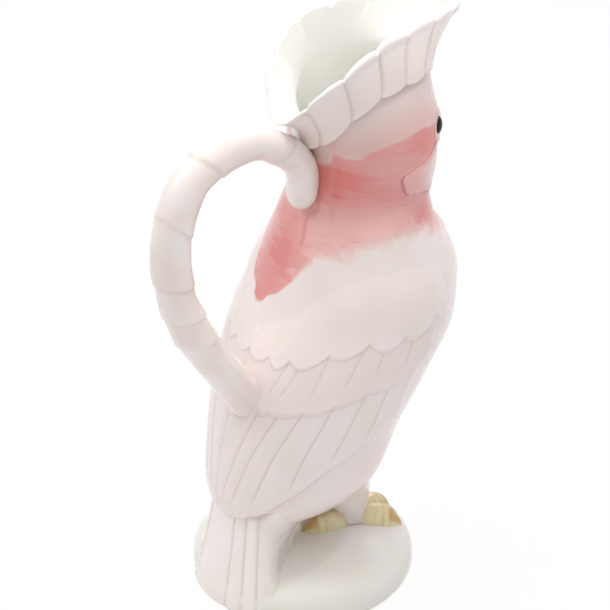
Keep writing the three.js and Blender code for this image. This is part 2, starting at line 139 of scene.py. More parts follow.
def pulled(share: Array, knots: Sequence[Array]) -> Array:
    """The curve from the first knot to the last that the knots between them pull, at shares of the way."""
    while len(knots) > 1:
        knots = [lerp(start, end, share) for start, end in zip(knots, knots[1:])]
    return knots[0]


def among(parts: Sequence[Array], angle: Array) -> Array:
    """The place of an angle among feathers: whole numbers where two of them part."""
    return sum(np.clip((angle - low) / (high - low), 0, 1) for low, high in zip(parts, parts[1:]))


class SmoothCurve:
    """A smooth curve through (place, value) pairs that never overshoots them."""

    def __init__(self, pairs: Pairs) -> None:
        """Works out the slope at each pair.

        Args:
            pairs: Places in rising order, each with its value.
        """
        self.places, self.values = np.array(pairs, float).T
        wide = np.diff(self.places)
        slope = np.diff(self.values) / wide
        before, after = slope[:-1], slope[1:]
        turning = before * after <= 0
        weight_after = 2 * wide[1:] + wide[:-1]
        weight_before = wide[1:] + 2 * wide[:-1]
        ratio = weight_after / np.where(turning, 1, before) + weight_before / np.where(turning, 1, after)
        inner = np.where(turning, 0, (weight_after + weight_before) / ratio)
        self.slopes = np.concatenate([slope[:1], inner, slope[-1:]])

    def __call__(self, place: Array) -> Array:
        """The value at each place. Beyond the ends it stays level."""
        place = np.clip(place, self.places[0], self.places[-1])
        i = np.clip(np.searchsorted(self.places, place) - 1, 0, len(self.places) - 2)
        wide = self.places[i + 1] - self.places[i]
        t = (place - self.places[i]) / wide
        rest = 1 - t
        start = self.values[i] * (1 + 2 * t) + self.slopes[i] * wide * t
        end = self.values[i + 1] * (1 + 2 * rest) - self.slopes[i + 1] * wide * rest
        return start * rest * rest + end * t * t


class Clay:
    """A closed form in the making, with paint held on its points.

    Three kinds of paint ride on each point: band (places against the edges of the painted bands), tint (amounts of
    colour) and wear (the groove, then two shares that each finish reads in its own way, such as bare clay).
    On the wings the groove share also carries painted shade along the tiers' edges, and on the skin the third share
    holds colour and painted shade by the handle's foot.
    """

    PAINT = ("band", "tint", "wear")
    WELD = 0.01

    def __init__(self) -> None:
        """Starts with nothing."""
        self.points = np.zeros((0, 3))
        self.paint: Paint = {name: np.zeros((0, 3)) for name in self.PAINT}
        self.faces: list[tuple[int, ...]] = []

    def keep(self, points: Array, paint: Paint) -> Array:
        """Stores points with their paint and returns their indices in the same layout."""
        index = len(self.points) + np.arange(points[..., 0].size).reshape(points.shape[:-1])
        self.points = np.concatenate([self.points, points.reshape(-1, 3)])
        for name in self.PAINT:
            laid = np.broadcast_to(paint.get(name, 0.0), points.shape)
            self.paint[name] = np.concatenate([self.paint[name], laid.reshape(-1, 3)])
        return index

    def sheet(self, points: Array, paint: Paint | None = None, ring: bool = False) -> Array:
        """Adds a grid of quads whose columns run all the way round.

        Args:
            points: Rows by columns of points.
            paint: Paint for those points, by name.
            ring: Joins the last row to the first as well.

        Returns:
            The points' indices, rows by columns.
        """
        index = self.keep(points, paint or {})
        rows = np.concatenate([index, index[:1]]) if ring else index
        lower, upper = rows[:-1], rows[1:]
        corners = [lower, np.roll(lower, -1, 1), np.roll(upper, -1, 1), upper]
        self.faces.extend(map(tuple, joined(*corners).reshape(-1, 4).tolist()))
        return index

    def tube(self, points: Array, paint: Paint | None = None) -> "Clay":
        """Adds a sheet and closes its first and last rows with fans round their middles.

        Args:
            points: Rows by columns of points.
            paint: Paint for those points, by name.

        Returns:
            The clay itself.
        """
        index = self.sheet(points, paint)
        for row in (index[0], index[-1]):
            mixed = {name: laid[row].mean(axis=0) for name, laid in self.paint.items()}
            middle = int(self.keep(self.points[row].mean(axis=0)[None], mixed)[0])
            self.faces.extend((int(a), int(b), middle) for a, b in zip(row, np.roll(row, -1)))
        return self

    def fire(self, node: str, slot: Slot, glaze: bpy.types.Material) -> None:
        """Makes the piece that stands for a node and rides on the frame.

        Args:
            node: The frame's node.
            slot: The record's slot that the finish belongs to. Not used.
            glaze: The material.
        """
        mesh = bpy.data.meshes.new(f"{node}_glazed")
        lifted = self.points + [0, 0, PLINTH_HEIGHT]
        mesh.from_pydata((lifted * MM).tolist(), [], self.faces)
        for name, laid in self.paint.items():
            layer = mesh.attributes.new(name, "FLOAT_VECTOR", "POINT")
            layer.data.foreach_set("vector", laid.astype(np.float32).ravel())
        form = bmesh.new()
        form.from_mesh(mesh)
        bmesh.ops.remove_doubles(form, verts=form.verts, dist=self.WELD * MM)
        bmesh.ops.recalc_face_normals(form, faces=form.faces)
        for face in form.faces:
            face.smooth = True
        form.to_mesh(mesh)
        form.free()
        mesh.materials.append(glaze)
        piece = bpy.data.objects.new(f"{node}_glazed", mesh)
        bpy.context.scene.collection.objects.link(piece)
        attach(piece, ROOT)
        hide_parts(node)
        log.info("%s: %d faces", piece.name, len(mesh.polygons))


@dataclass(frozen=True)
class Skin:
    """The bird's outer skin: ovals stacked from the plinth to the crown.

    Each row is a height, the places of the back, the widest line and the front along X, and half the width. belly
    holds the heights between which its underside lies.
    """

    rows: tuple[tuple[float, ...], ...] = (
        (-2, -49, -34, -20.5, 7.5),
        (6, -43, -30, -16.5, 7.5),
        (14, -38, -22, -8, 10),
        (22, -45, -10, 15, 19),
        (32, -48, -4, 33, 31),
        (46, -50, -2, 43, 40.5),
        (70, -47.5, 0, 56.5, 45),
        (95, -40.5, 6, 74.5, 50.5),
        (120, -28, 14, 93, 52.5),
        (140, -15.5, 21, 94, 50.5),
        (160, -7.5, 26, 87, 45.5),
        (177, -1, 30, 75.5, 40),
        (192, 5, 33, 72, 37),
        (210, 6, 34, 75, 38.5),
        (227, 3, 34, 77, 37.5),
        (242, 1, 34, 75, 33.5),
        (254, 0, 34, 73, 29.5),
    )
    root_front: float = 254
    root_back: float = 224
    root_sweep: float = 5.5
    belly: Span = (14, 60)
    halvings: int = 30

    def oval(self, height: Array) -> list[Array]:
        """The back, the widest line and the front along X, and half the width, at a height."""
        return [SmoothCurve([(row[0], row[column]) for row in self.rows])(height) for column in range(1, 5)]

    def width(self, x: Array, height: Array) -> Array:
        """Half the width at a place along X, and 0 beyond the back and the front."""
        back, middle, front, half = self.oval(height)
        reach = np.where(x > middle, front - middle, middle - back)
        return half * np.sqrt(np.clip(1 - ((x - middle) / reach) ** 2, 0, 1))

    def point(self, angle: Array, height: Array, out: Array = 0.0) -> Array:
        """Points of the skin, moved out by a distance."""
        cosine, sine = np.cos(np.radians(angle)), np.sin(np.radians(angle))
        back, middle, front, half = self.oval(height)
        reach = np.where(cosine > 0, front - middle, middle - back)
        return joined(middle + (reach + out) * cosine, (half + out) * sine, height)

    def crest_root(self, angle: Array) -> Array:
        """The height at which the crest leaves the head: level at the front, dipping at the nape."""
        return lerp(self.root_front, self.root_back, half_wave(np.radians(angle)) ** self.root_sweep)

    def underside(self, x: Array, y: Array) -> Array:
        """The height of the belly's underside above points of the plinth, found by halving."""
        below, above = (np.full_like(x, end) for end in self.belly)
        for _ in range(self.halvings):
            guess = (below + above) / 2
            inside = np.abs(y) < self.width(x, guess)
            above, below = np.where(inside, guess, above), np.where(inside, below, guess)
        return (below + above) / 2


@dataclass(frozen=True)
class Brushwork:
    """Where the underglaze colours lie on the bird, whichever piece carries them.

    The edges are pairs over the angle from the mantle's axis, the angle from the beak, and the height. arc is the
    length of a degree over the skin. Each coral spot is its strength, its angle and spread, its height and spread.
    Spans named turn or height hold a middle and its spread. Those named end, rise, fall or fade hold where a step
    starts and ends.
    """

    mantle_axis: float = 159
    mantle_edge: Pairs = (
        (0, 136.5), (5, 138), (8, 142), (14, 144.5), (23, 152.5), (29, 160), (38, 166.5), (48, 171),
        (63, 173.5), (89, 178.5), (121, 179), (151, 170), (180, 167),
    )
    nape_edge: Pairs = (
        (0, 227), (57, 227), (66, 229), (76, 231), (86, 230.2), (116, 226.8), (149, 220), (157, 221.5),
        (162, 215), (171, 213), (180, 212),
    )
    face_edge: Pairs = (
        (186, 20), (190, 44), (193, 58), (197.3, 75), (200, 92), (205, 98), (209, 100), (211.5, 92), (213, 76),
        (215, 64), (218, 57), (223, 56), (229, 54), (238, 44), (256, 38),
    )
    mantle_soft: Span = (1, 6)
    nape_soft: float = 1.6
    arc: float = 0.65
    limb_reach: Span = (191, 222)
    limb_half: float = 5.4
    eye: Span = (48, 224.4)
    eye_ring: float = 7.6
    coral_spots: tuple[tuple[float, ...], ...] = ((1, 158, 30, 206, 14), (0.6, 74, 22, 223, 9), (0.75, 62, 18, 185, 9))
    pooled: float = 0.45
    far: float = 9
    jaw_end: Span = (190, 182)
    jaw_sharp: float = 40
    brow_end: Span = (235, 255)
    brow_sharp: float = 150
    brow_rise: Span = (226, 236)
    brow_round: float = 16
    ring_sharp: float = 14
    mantle_fade: Span = (16, 50)
    tip_turn: Span = (4, 20)
    tip_fall: Span = (206, 164)
    tip_coral: float = 0.5
    rose_fall: Span = (200, 184)
    bare_turn: Span = (66, 24)
    bare_rise: Span = (172, 182)
    bare_share: float = 0.8
    blush_turn: Span = (48, 30)
    blush_height: Span = (54, 22)
    pool_half: float = 1.5
    pool_fall: Span = (204, 192)
    run_half: float = 1.1
    run_place: Span = (1.2, 0.8)
    run_sway: float = 3
    run_ends: Pairs = ((168, 175), (196, 188))

    def from_eye(self, own: Array, height: Array) -> Array:
        """The distance over the skin from the middle of the eye."""
        return np.hypot((own - self.eye[0]) * self.arc, height - self.eye[1])

    def in_face(self, own: Array, height: Array) -> Array:
        """The distance inside the face's edge, which rounds off over the brow and takes in the ring of the eye."""
        ends = self.jaw_sharp * ease(height, *self.jaw_end) + self.brow_sharp * ease(height, *self.brow_end)
        rounded = lerp(own, np.hypot(own, self.brow_round), ease(height, *self.brow_rise))
        inside = (SmoothCurve(self.face_edge)(height) - rounded) * self.arc - ends
        return np.maximum(inside, self.ring_sharp * (self.eye_ring - self.from_eye(own, height)))

    def lay(self, angle: Array, height: Array, groove: Array = 0.0) -> Paint:
        """The paint on points of the skin.

        Args:
            angle: Angles from the beak.
            height: Heights above the plinth.
            groove: How much of the groove colour each point takes, from 0 to 1: colour in the grooves, and painted
                shade along the wings' tier edges and under their lips.

        Returns:
            Paint by name for Clay: band holds the mantle's lower edge, its upper edge and the face's edge as
            distances over the local softness; tint holds coral, rose and blush; wear holds the groove, the inner
            wall, and colour by the handle's foot, gathered there and painted as shade below it, with runs down from
            it.
        """
        angle, height, groove = np.broadcast_arrays(angle, height, groove)
        own = own_angle(angle)
        turn = own_angle(angle - self.mantle_axis)
        soft = lerp(*self.mantle_soft, ease(turn, *self.mantle_fade))
        mantle = (height - SmoothCurve(self.mantle_edge)(turn)) / soft
        nape = (SmoothCurve(self.nape_edge)(own) - height) / self.nape_soft
        face = np.clip(self.in_face(own, height), -self.far, None)

        # Coral gathers in spots and in the mantle's tip, and rose is what is left of the lower neck
        tip = hump(turn, *self.tip_turn) * ease(height, *self.tip_fall)
        spots = [most * hump(own, a, wide) * hump(height, h, tall) for most, a, wide, h, tall in self.coral_spots]
        coral = np.max([self.tip_coral * tip, *spots], axis=0)
        bare = self.bare_share * hump(own, *self.bare_turn) * ease(height, *self.bare_rise)
        rose = ease(height, *self.rose_fall) * (1 - tip) * (1 - bare)
        blush = hump(own, *self.blush_turn) * hump(height, *self.blush_height)

        # Colour gathers round the handle's foot and is painted as shade below it, where the handle meets the neck, and
        # it runs down from there
        beside = np.hypot((180 - own) * self.arc, height - np.clip(height, *self.limb_reach)) - self.limb_half
        foot = hump(beside, 0, self.pool_half) * ease(height, *self.pool_fall)
        place, sway = self.run_place
        run = hump((angle % 360 - 180) * self.arc, place + sway * np.sin(height / self.run_sway), self.run_half)
        run = run * between(height, self.run_ends)
        return {
            "band": joined(mantle, nape, face),
            "tint": joined(coral, rose, blush),
            "wear": joined(groove, 0, self.pooled * np.maximum(foot, run)),
        }


SKIN = Skin()
BRUSHWORK = Brushwork()


@dataclass
class Plinth:
    """The round mound that the bird stands on, turned about its axis."""

    radius: float = PLINTH_RADIUS
    height: float = PLINTH_HEIGHT
    foot_inset: float = 2
    foot_width: float = 6
    waist: float = 6
    shoulder: float = 20
    hub: float = 2
    pull: Span = (0.75, 0.4)
    wobble: float = 0.35
    around: int = 132
    foot_rows: int = 9
    shoulder_rows: int = 41
    top_rows: int = 16

    def upper(self) -> Array:
        """Radius and height pairs from the waist to the top's middle."""
        flat = self.radius - self.shoulder
        knots = [
            (self.radius, self.waist),
            (self.radius, lerp(self.waist, self.height, self.pull[0])),
            (lerp(self.radius, flat, self.pull[1]), self.height),
            (flat, self.height),
        ]
        top = joined(np.linspace(flat, self.hub, self.top_rows)[1:], self.height)
        return np.concatenate([pulled(steps(0, 1, self.shoulder_rows)[1:], np.array(knots)), top])

    def lie(self, x: Array, y: Array) -> Array:
        """The height of the mound's surface at points, from its top."""
        radius, height = self.upper().T
        return np.interp(-np.hypot(x, y), -radius, height) - self.height

    def build(self, glaze: bpy.types.Material) -> None:
        """Turns the mound, a little out of true as thrown clay is."""
        edge = self.radius - self.foot_inset
        foot = np.array([(edge, 0), (self.radius, self.waist / 3), (self.radius, self.waist)])
        foot = pulled(steps(0, 1, self.foot_rows), foot)
        profile = np.concatenate([[(edge - self.foot_width, 0)], foot, self.upper()])
        turn = full_turn(self.around)
        lean = self.wobble * (np.sin(2 * turn + 0.6) + 0.5 * np.sin(3 * turn + 2)) / 1.5
        belly = np.sin(np.pi * np.clip(profile[:, 1:] / self.height, 0, 1))
        radius = profile[:, :1] - belly * (self.wobble + lean)
        points = joined(radius * np.cos(turn), radius * np.sin(turn), profile[:, 1:] - self.height)
        Clay().tube(points).fire("base_plinth", Slot.PLINTH, glaze)


@dataclass
class Body:
    """Torso, neck and head in one hollow wall, open at the crown, standing on its vent and its legs."""

    wall: float = 5
    base: float = -2
    floor: float = 21
    around: int = 236
    rows: int = 180
    inner_rows: int = 30
    under_crest: float = 0.6
    jaw_relief: float = 1.3
    cheek_relief: float = 0.7
    brow: float = 236
    lid: Span = (6.6, 1.5)
    lid_relief: float = 0.9
    socket: float = 4.2
    socket_relief: float = 0.8
    face_soft: Span = (-1.2, 1.4)
    jaw_ends: Pairs = ((189, 194), (214, 205))
    cheek_ends: Pairs = ((206, 214), (236, 226))
    wiped: float = 9
    wiped_share: float = 0.9

    def relief(self, angle: Array, height: Array) -> Array:
        """How far cheek, jaw and eyelid stand out from the plain skin."""
        own = own_angle(angle)
        inside = (SmoothCurve(BRUSHWORK.face_edge)(height) - own) * BRUSHWORK.arc
        face = ease(np.where(height > self.brow, -BRUSHWORK.far, inside), *self.face_soft)
        jaw = self.jaw_relief * between(height, self.jaw_ends)
        cheek = self.cheek_relief * between(height, self.cheek_ends)
        away = BRUSHWORK.from_eye(own, height)
        lid = self.lid_relief * hump(away, *self.lid) - self.socket_relief * hump(away, 0, self.socket)
        return face * (jaw + cheek) + lid

    def build(self, glaze: bpy.types.Material) -> None:
        """Lays the outer skin and the inner wall as one sheet."""
        angle = np.degrees(full_turn(self.around))
        top = SKIN.crest_root(angle) + self.under_crest
        height = lerp(self.base, top, steps(0, 1, self.rows))
        depth = lerp(top, self.floor, steps(0, 1, self.inner_rows))
        outer = SKIN.point(angle, height, self.relief(angle, height))
        inner = SKIN.point(angle, depth, -self.wall)
        paint = BRUSHWORK.lay(angle, np.concatenate([height, depth]))
        bare = self.wiped_share * ease(height, self.wiped, 0)
        paint["wear"][..., 1] = np.concatenate([bare, np.ones_like(depth)])
        Clay().tube(np.concatenate([outer, inner]), paint).fire("body_shell", Slot.ROSE, glaze)


@dataclass
class Crest:
    """The fluted ring of crest feathers that is the mouth and pouring lip.

    columns are the points across each feather. foot_splits and rim_splits are the angles between the feathers.
    """

    proud: float = 3
    wall: float = 5
    thickness: float = 3
    middle: float = 25
    back: float = -15
    tip: float = 104
    half: float = 29
    tip_height: float = 269
    side_height: float = 275
    back_height: float = 244
    lip_point: float = 1.7
    flare: float = 1.35
    funnel: float = 2
    flute: float = 1.2
    scallop: float = 2.8
    foot_scallop: float = 2.2
    foot_lip: float = 1.1
    foot_sunk: float = 1.5
    nape_dip: float = 6
    nape_drop: float = 1
    rolled: float = 0.9
    lining: float = 0.4
    throat: float = 194
    drop_turn: Span = (146, 176)
    dip_turn: Span = (148, 178)
    rolled_from: float = 0.82
    scalloped_to: float = 0.25
    dropped_to: float = 0.5
    fluted: Span = (-0.2, 0.3)
    inner_top: float = 0.985
    seat_rise: float = 1
    sunk_root: float = 2.5
    columns: int = 22
    throat_rows: int = 25
    inner_rows: int = 26
    outer_rows: int = 46
    roll_rows: int = 9
    lip_rows: int = 8
    sunk_rows: int = 10
    foot_splits: tuple[float, ...] = (18, 40, 63.5, 87, 110.5, 137, 166)
    rim_splits: tuple[float, ...] = (16, 37, 59, 78, 95, 122.5, 152)

    def places(self) -> tuple[Array, Array]:
        """The feather that each column of points belongs to, and the column's place across it, from 0 to 1."""
        feather, column = np.divmod(np.arange(2 * len(self.foot_splits) * self.columns), self.columns)
        return feather, column / self.columns

    def angles(self, rise: Array) -> Array:
        """The columns' angles at shares of the way from root to rim, so that they run along the splits."""
        half = lerp(np.array(self.foot_splits), np.array(self.rim_splits), rise)
        ends = np.concatenate([half, 360 - half[:, ::-1], 360 + half[:, :1]], axis=1)
        feather, across = self.places()
        return lerp(ends[:, feather], ends[:, feather + 1], across)

    def rim(self, angle: Array, inset: Array) -> Array:
        """The outer edge of the mouth: pointed at the lip, oval behind, highest at the sides."""
        turn = np.radians(angle)
        cosine, sine = np.cos(turn), np.sin(turn)
        power = np.where(cosine > 0, self.lip_point, 1)
        reach = np.where(cosine > 0, self.tip - self.middle, self.middle - self.back)
        ends = (self.tip_height + self.back_height) / 2
        level = (ends + self.side_height) / 2
        slope = (self.tip_height - self.back_height) / 2
        height = level + slope * cosine + (ends - level) * np.cos(2 * turn)
        y = np.sign(sine) * (self.half - inset) * np.abs(sine) ** power
        return joined(self.middle + (reach - inset) * cosine, y, height)

    def girth(self, angle: Array, height: Array) -> Array:
        """How far the skin lies from the head's axis."""
        x, y, _ = np.moveaxis(SKIN.point(angle, height), -1, 0)
        return np.hypot(x - SKIN.oval(SKIN.root_front)[1], y)

    def wall_point(self, rise: Array, out: Array, inset: Array, flare: float) -> Array:
        """Points of the crest's wall, row by row.

        Args:
            rise: Shares of the way from root to rim.
            out: How far the root stands out from the skin.
            inset: How far the rim lies within the mouth's outer edge.
            flare: The power by which the wall leans out as it rises.

        Returns:
            Rows by columns of points.
        """
        angle = self.angles(rise)
        root = SKIN.point(angle, SKIN.crest_root(angle), out)
        rim = self.rim(angle, inset)
        point = lerp(root, rim, rise[..., None] ** flare)
        point[..., 2] = lerp(root[..., 2], rim[..., 2], rise)
        return point

    def inside(self, angle: Array, root: Array, down: Array) -> Array:
        """The lining below the root: straight down at first, then out to the neck's wall."""
        level = lerp(root, self.throat, down)
        swell = np.clip(self.girth(angle, level) - self.girth(angle, root), 0, None)
        proud = self.lining * (1 - 2 * down) + swell * ease(down, 1, 0.6)
        return SKIN.point(angle, level, -self.wall - proud)

    def build(self, glaze: bpy.types.Material) -> None:
        """Models the throat, the inner face, the rolled rim, the fluted outer face and the foot's lip."""
        low, high = np.zeros((1, 1)), np.ones((1, 1))
        foot_angle, rim_angle = self.angles(low), self.angles(high)
        root = SKIN.crest_root(foot_angle)
        throat = self.inside(foot_angle, root, steps(1, 0, self.throat_rows)[:-1])
        inner_rise, outer_rise = steps(0, self.inner_top, self.inner_rows), steps(1, 0, self.outer_rows)
        inner = self.wall_point(inner_rise, -self.lining - self.wall, self.thickness, self.funnel)

        # Each feather is full along its middle and falls to a groove at the splits
        lobe = np.sqrt(np.sin(np.pi * self.places()[1]))[None]
        groove = 1 - lobe
        flute = self.flute * groove * ease(outer_rise, *self.fluted)
        flute = flute - self.rolled * ease(outer_rise, self.rolled_from, 1)
        outer = self.wall_point(outer_rise, self.proud - flute, flute, self.flare)
        nape = ease(own_angle(self.angles(outer_rise)), *self.drop_turn)
        outer[..., 2] -= self.nape_drop * nape * ease(outer_rise, self.dropped_to, 0)
        outer[..., 2] -= self.foot_scallop * (lobe - 0.5) * ease(outer_rise, self.scalloped_to, 0)

        # The rim rolls over from the inner face, and the foot's lip rolls back on to the head
        roll = steps(0, np.pi, self.roll_rows)[1:-1]
        crown = self.wall_point(high, 0, lerp(self.thickness, flute[:1], half_wave(roll)), self.flare)
        crown[..., 2] += self.thickness / 2 * np.sin(roll)
        lip = steps(0, np.pi, self.lip_rows)[1:]
        lip_out = lerp(self.proud, -self.foot_sunk, half_wave(lip)) - flute[-1:] * np.cos(lip / 2)
        foot = self.wall_point(0 * lip, lip_out, 0, self.flare)
        foot[..., 2] += outer[-1:, :, 2] - foot[-1:, :, 2] - self.foot_lip * np.sin(lip)
        seat = SKIN.point(foot_angle, root + self.seat_rise, -self.foot_sunk)
        sunk = steps(0, 1, self.sunk_rows + 1)[1:]
        depth = lerp(-self.sunk_root, 1 - self.wall, sunk)
        under = SKIN.point(foot_angle, lerp(root, self.throat, sunk), depth)
        scallop = -self.scallop * groove - self.nape_dip * ease(own_angle(rim_angle), *self.dip_turn)
        for part, rise in ((inner, inner_rise), (crown, high), (outer, outer_rise)):
            part[..., 2] += scallop * rise**2

        # Wear, row by row: the groove, the cream inside, and how near the rim the slip lies
        rows = ((throat, 0, 1, 0), (inner, 0, 1, inner_rise), (crown, 0, 0, 1), (outer, groove**3, 0, outer_rise))
        rows += tuple((part, 0, 0, 0) for part in (foot, seat, under))
        wear = [joined(*worn, part[..., 0])[..., :3] for part, *worn in rows]
        clay = Clay()
        clay.sheet(np.concatenate([part for part, *_ in rows]), {"wear": np.concatenate(wear)}, ring=True)
        clay.fire("crest_spout", Slot.CREST, glaze)


class LimbLine:
    """A smooth line through points, even in its pace, as a rolled coil of clay bends."""

    def __init__(self, knots: Array, fineness: int = 160) -> None:
        """Works out the line.

        Args:
            knots: The points that it passes through.
            fineness: Points taken along each span.
        """
        ends = [2 * knots[0] - knots[1], *knots, 2 * knots[-1] - knots[-2]]
        share = np.linspace(0, 1, fineness, endpoint=False)[:, None]
        spans = []
        for p0, p1, p2, p3 in zip(ends, ends[1:], ends[2:], ends[3:]):
            pace = [np.sqrt(np.linalg.norm(b - a)) for a, b in ((p0, p1), (p1, p2), (p2, p3))]
            leave = (p1 - p0) / pace[0] - (p2 - p0) / (pace[0] + pace[1]) + (p2 - p1) / pace[1]
            reach = (p2 - p1) / pace[1] - (p3 - p1) / (pace[1] + pace[2]) + (p3 - p2) / pace[2]
            third = pace[1] / 3
            spans.append(pulled(share, (p1, p1 + leave * third, p2 - reach * third, p2)))
        self.points = np.concatenate([*spans, knots[-1:]])
        lengths = np.linalg.norm(np.diff(self.points, axis=0), axis=1)
        self.along = np.concatenate([[0], np.cumsum(lengths)])
        self.length = float(self.along[-1])

    def at(self, share: Array) -> Array:
        """Points at shares of the length."""
        place = np.asarray(share) * self.length
        return joined(*(np.interp(place, self.along, self.points[:, k]) for k in range(3)))

    def heading(self, share: Array, near: float = 0.002) -> Array:
        """Unit directions at shares of the length."""
        way = self.at(np.clip(share + near, 0, 1)) - self.at(np.clip(share - near, 0, 1))
        return way / np.linalg.norm(way, axis=-1, keepdims=True)


@dataclass
class Handle:
    """The branch-like limb from the nape to the back, with oblique nodes.

    Each waver is its depth, its half waves along the limb and its waves round it. crowded holds the power by which
    the rings crowd to the start, and the share of the length from which they are even.
    """

    radius: float = 9.6
    upper_seat: float = 190
    lower_seat: float = 97
    top: float = 234
    reach: float = 81
    step: float = 0.8
    girth: Pairs = ((0, 7.9), (0.12, 8.1), (0.28, 8.7), (0.45, 9.4), (1, 9.6))
    nape_sink: float = 0.4
    neck_sink: float = 0.25
    landing: Span = (0.55, 0.83)
    arch: Pairs = ((0.2, 0.05), (0.46, 0), (0.82, 0.055), (0.985, 0.22), (0.985, 0.44), (0.86, 0.64))
    nodes: tuple[float, ...] = (0.17, 0.36, 0.5, 0.62, 0.7, 0.77)
    slants: tuple[float, ...] = (0.35, -0.4, 0.45, 0.3, 0.5, 0.45)
    root: Span = (3, -1.5)
    crowded: Span = (1.6, 0.12)
    node_blend: Span = (-0.5, 0.9)
    node_place: Span = (0.2, 0.9)
    node_shown: Span = (0.55, 0.45)
    node_turn: float = 1.9
    blunt: float = 0.0004
    node_depth: float = 0.3
    wavers: tuple[Triple, ...] = ((0.18, 9, 2), (0.12, 23, -1))
    stations: int = 250
    sides: int = 48

    def line(self) -> LimbLine:
        """The limb's middle line, in the plane of symmetry."""
        seats = ((self.upper_seat, self.nape_sink), ((self.upper_seat + self.top) / 2, self.neck_sink))
        neck = [(SKIN.oval(h)[0] - self.radius * (1 - sink), 0, h) for h, sink in seats]
        drop = [(lerp(neck[-1][0], -self.reach, r), 0, lerp(self.top, self.lower_seat, d)) for r, d in self.arch]
        back = SKIN.oval(self.lower_seat)[0]
        inwards, fall = self.landing
        land = (lerp(drop[-1][0], back, inwards), 0, lerp(self.top, self.lower_seat, fall))
        root = (back + self.root[0], 0, self.lower_seat + self.root[1])
        return LimbLine(np.array([*neck, *drop, land, root], float))

    def build(self, glaze: bpy.types.Material) -> None:
        """Rolls the limb, swelling along each joint and stepping back at each node."""
        line = self.line()
        share = steps(0, 1, self.stations)
        power, even = self.crowded
        share = lerp(share**power, share, ease(share, 0.0, even))
        phi = full_turn(self.sides)
        swell = np.clip(share / self.nodes[0], 0, 1) - 0.5
        groove = np.zeros_like(swell)
        ends = [*self.nodes[1:], 1]
        level, sway = self.node_shown
        for k, (start, end, lean) in enumerate(zip(self.nodes, ends, self.slants), 1):
            from_start = (share - start) * line.length - lean * self.radius * np.cos(phi)
            part = np.clip(from_start / ((end - start) * line.length), 0, 1)
            swell = lerp(swell, part - 0.5, ease(from_start, *self.node_blend))
            faint = level + sway * np.cos(phi + self.node_turn * k)
            groove = np.maximum(groove, hump(from_start, *self.node_place) * faint)
        short = 1 - np.clip(share * line.length / self.radius, 0, 1)
        taper = np.sqrt(np.clip(1 - short**2, self.blunt, 1))
        waver = sum(deep * np.sin(long * np.pi * share + turns * phi) for deep, long, turns in self.wavers)
        radius = SmoothCurve(self.girth)(share) + self.step * swell - self.node_depth * groove + waver
        radius = radius * taper
        heading = line.heading(share[:, 0])
        away = joined(-heading[:, 2], 0, heading[:, 0])[:, None]
        ring = np.cos(phi)[..., None] * away + np.sin(phi)[..., None] * [0.0, 1.0, 0.0]
        points = line.at(share[:, 0])[:, None] + radius[..., None] * ring
        wear = groove[..., None] * [1.0, 0.0, 0.0]
        Clay().tube(points, {"wear": wear}).fire("handle", Slot.BRANCH, glaze)


@dataclass(frozen=True)
class FeatherRow:
    """One tier of a wing: where its feathers part, and how far it stands out.

    top and edge give heights over the angle from the beak. parts_top and parts_edge are the angles at which feathers
    part, at the tier's top and at its edge. front holds the angle of the front edge at the top and at the edge. lift
    holds how far the tier stands out from the skin: at the top and at the edge, each in front and at the back.
    grooved holds where the grooves start and end on the way down. wash is how far the whole tier is tinted towards
    the grooves' colour.
    """

    node: str
    top: Pairs
    edge: Pairs
    parts_top: tuple[float, ...]
    parts_edge: tuple[float, ...]
    front: Span
    lift: tuple[Span, Span]
    scallop: float
    vane: float
    grooved: Span
    wash: float = 0
    tangent_top: bool = False


COVERT_EDGE: Pairs = (
    (50, 139), (60, 137.5), (73, 136.5), (91, 133.8), (117, 133), (139, 127), (159.6, 121.3), (172, 120), (190, 121),
)
SECONDARY_EDGE: Pairs = (
    (50, 130), (73, 121), (80, 113), (87, 110), (100, 110.5), (113, 108), (124, 104), (132, 101.5), (146, 99),
    (165, 96.5), (190, 97),
)
PRIMARY_EDGE: Pairs = (
    (60, 103), (73, 93), (81, 86), (91, 80), (115, 68), (139, 51), (154, 41), (166, 36.5), (176, 35.2), (190, 37),
)
FEATHER_ROWS = (
    FeatherRow(
        node="wing_primaries", top=SECONDARY_EDGE, edge=PRIMARY_EDGE,
        parts_top=(70, 92, 107, 124, 139.5, 152.5, 165, 200), parts_edge=(70, 97, 116, 137, 160, 176, 184, 204),
        front=(71, 74), lift=((2.2, 1.2), (2.6, 5.2)), scallop=0.8, vane=0.22, grooved=(0.02, 0.98),
    ),
    FeatherRow(
        node="wing_secondaries", top=COVERT_EDGE, edge=SECONDARY_EDGE,
        parts_top=(60, 84, 104, 117.4, 138, 149.7, 158, 196), parts_edge=(66, 88, 108, 126, 141, 160, 167, 198),
        front=(59, 71), lift=((2.4, 1.0), (3.4, 2.3)), scallop=1.8, vane=0.2, grooved=(0.0, 0.86), wash=0.35,
    ),
    FeatherRow(
        node="wing_coverts",
        top=((50, 150), (60, 161), (72, 167), (90, 170), (112, 171), (134, 168), (152, 160), (167, 148), (190, 134)),
        edge=COVERT_EDGE,
        parts_top=(46, 66, 84, 112, 134, 153, 168, 186), parts_edge=(52, 73, 91, 117, 139, 159.6, 172, 190),
        front=(61, 59), lift=((0, 0), (3.8, 1.9)), scallop=5.2, vane=0.0, grooved=(2, 3), wash=0.15, tangent_top=True,
    ),
)
# The angle at which each wing ends: they meet to the bird's left of the middle
WING_BACKS = {Side.RIGHT: 188.0, Side.LEFT: 172.6}


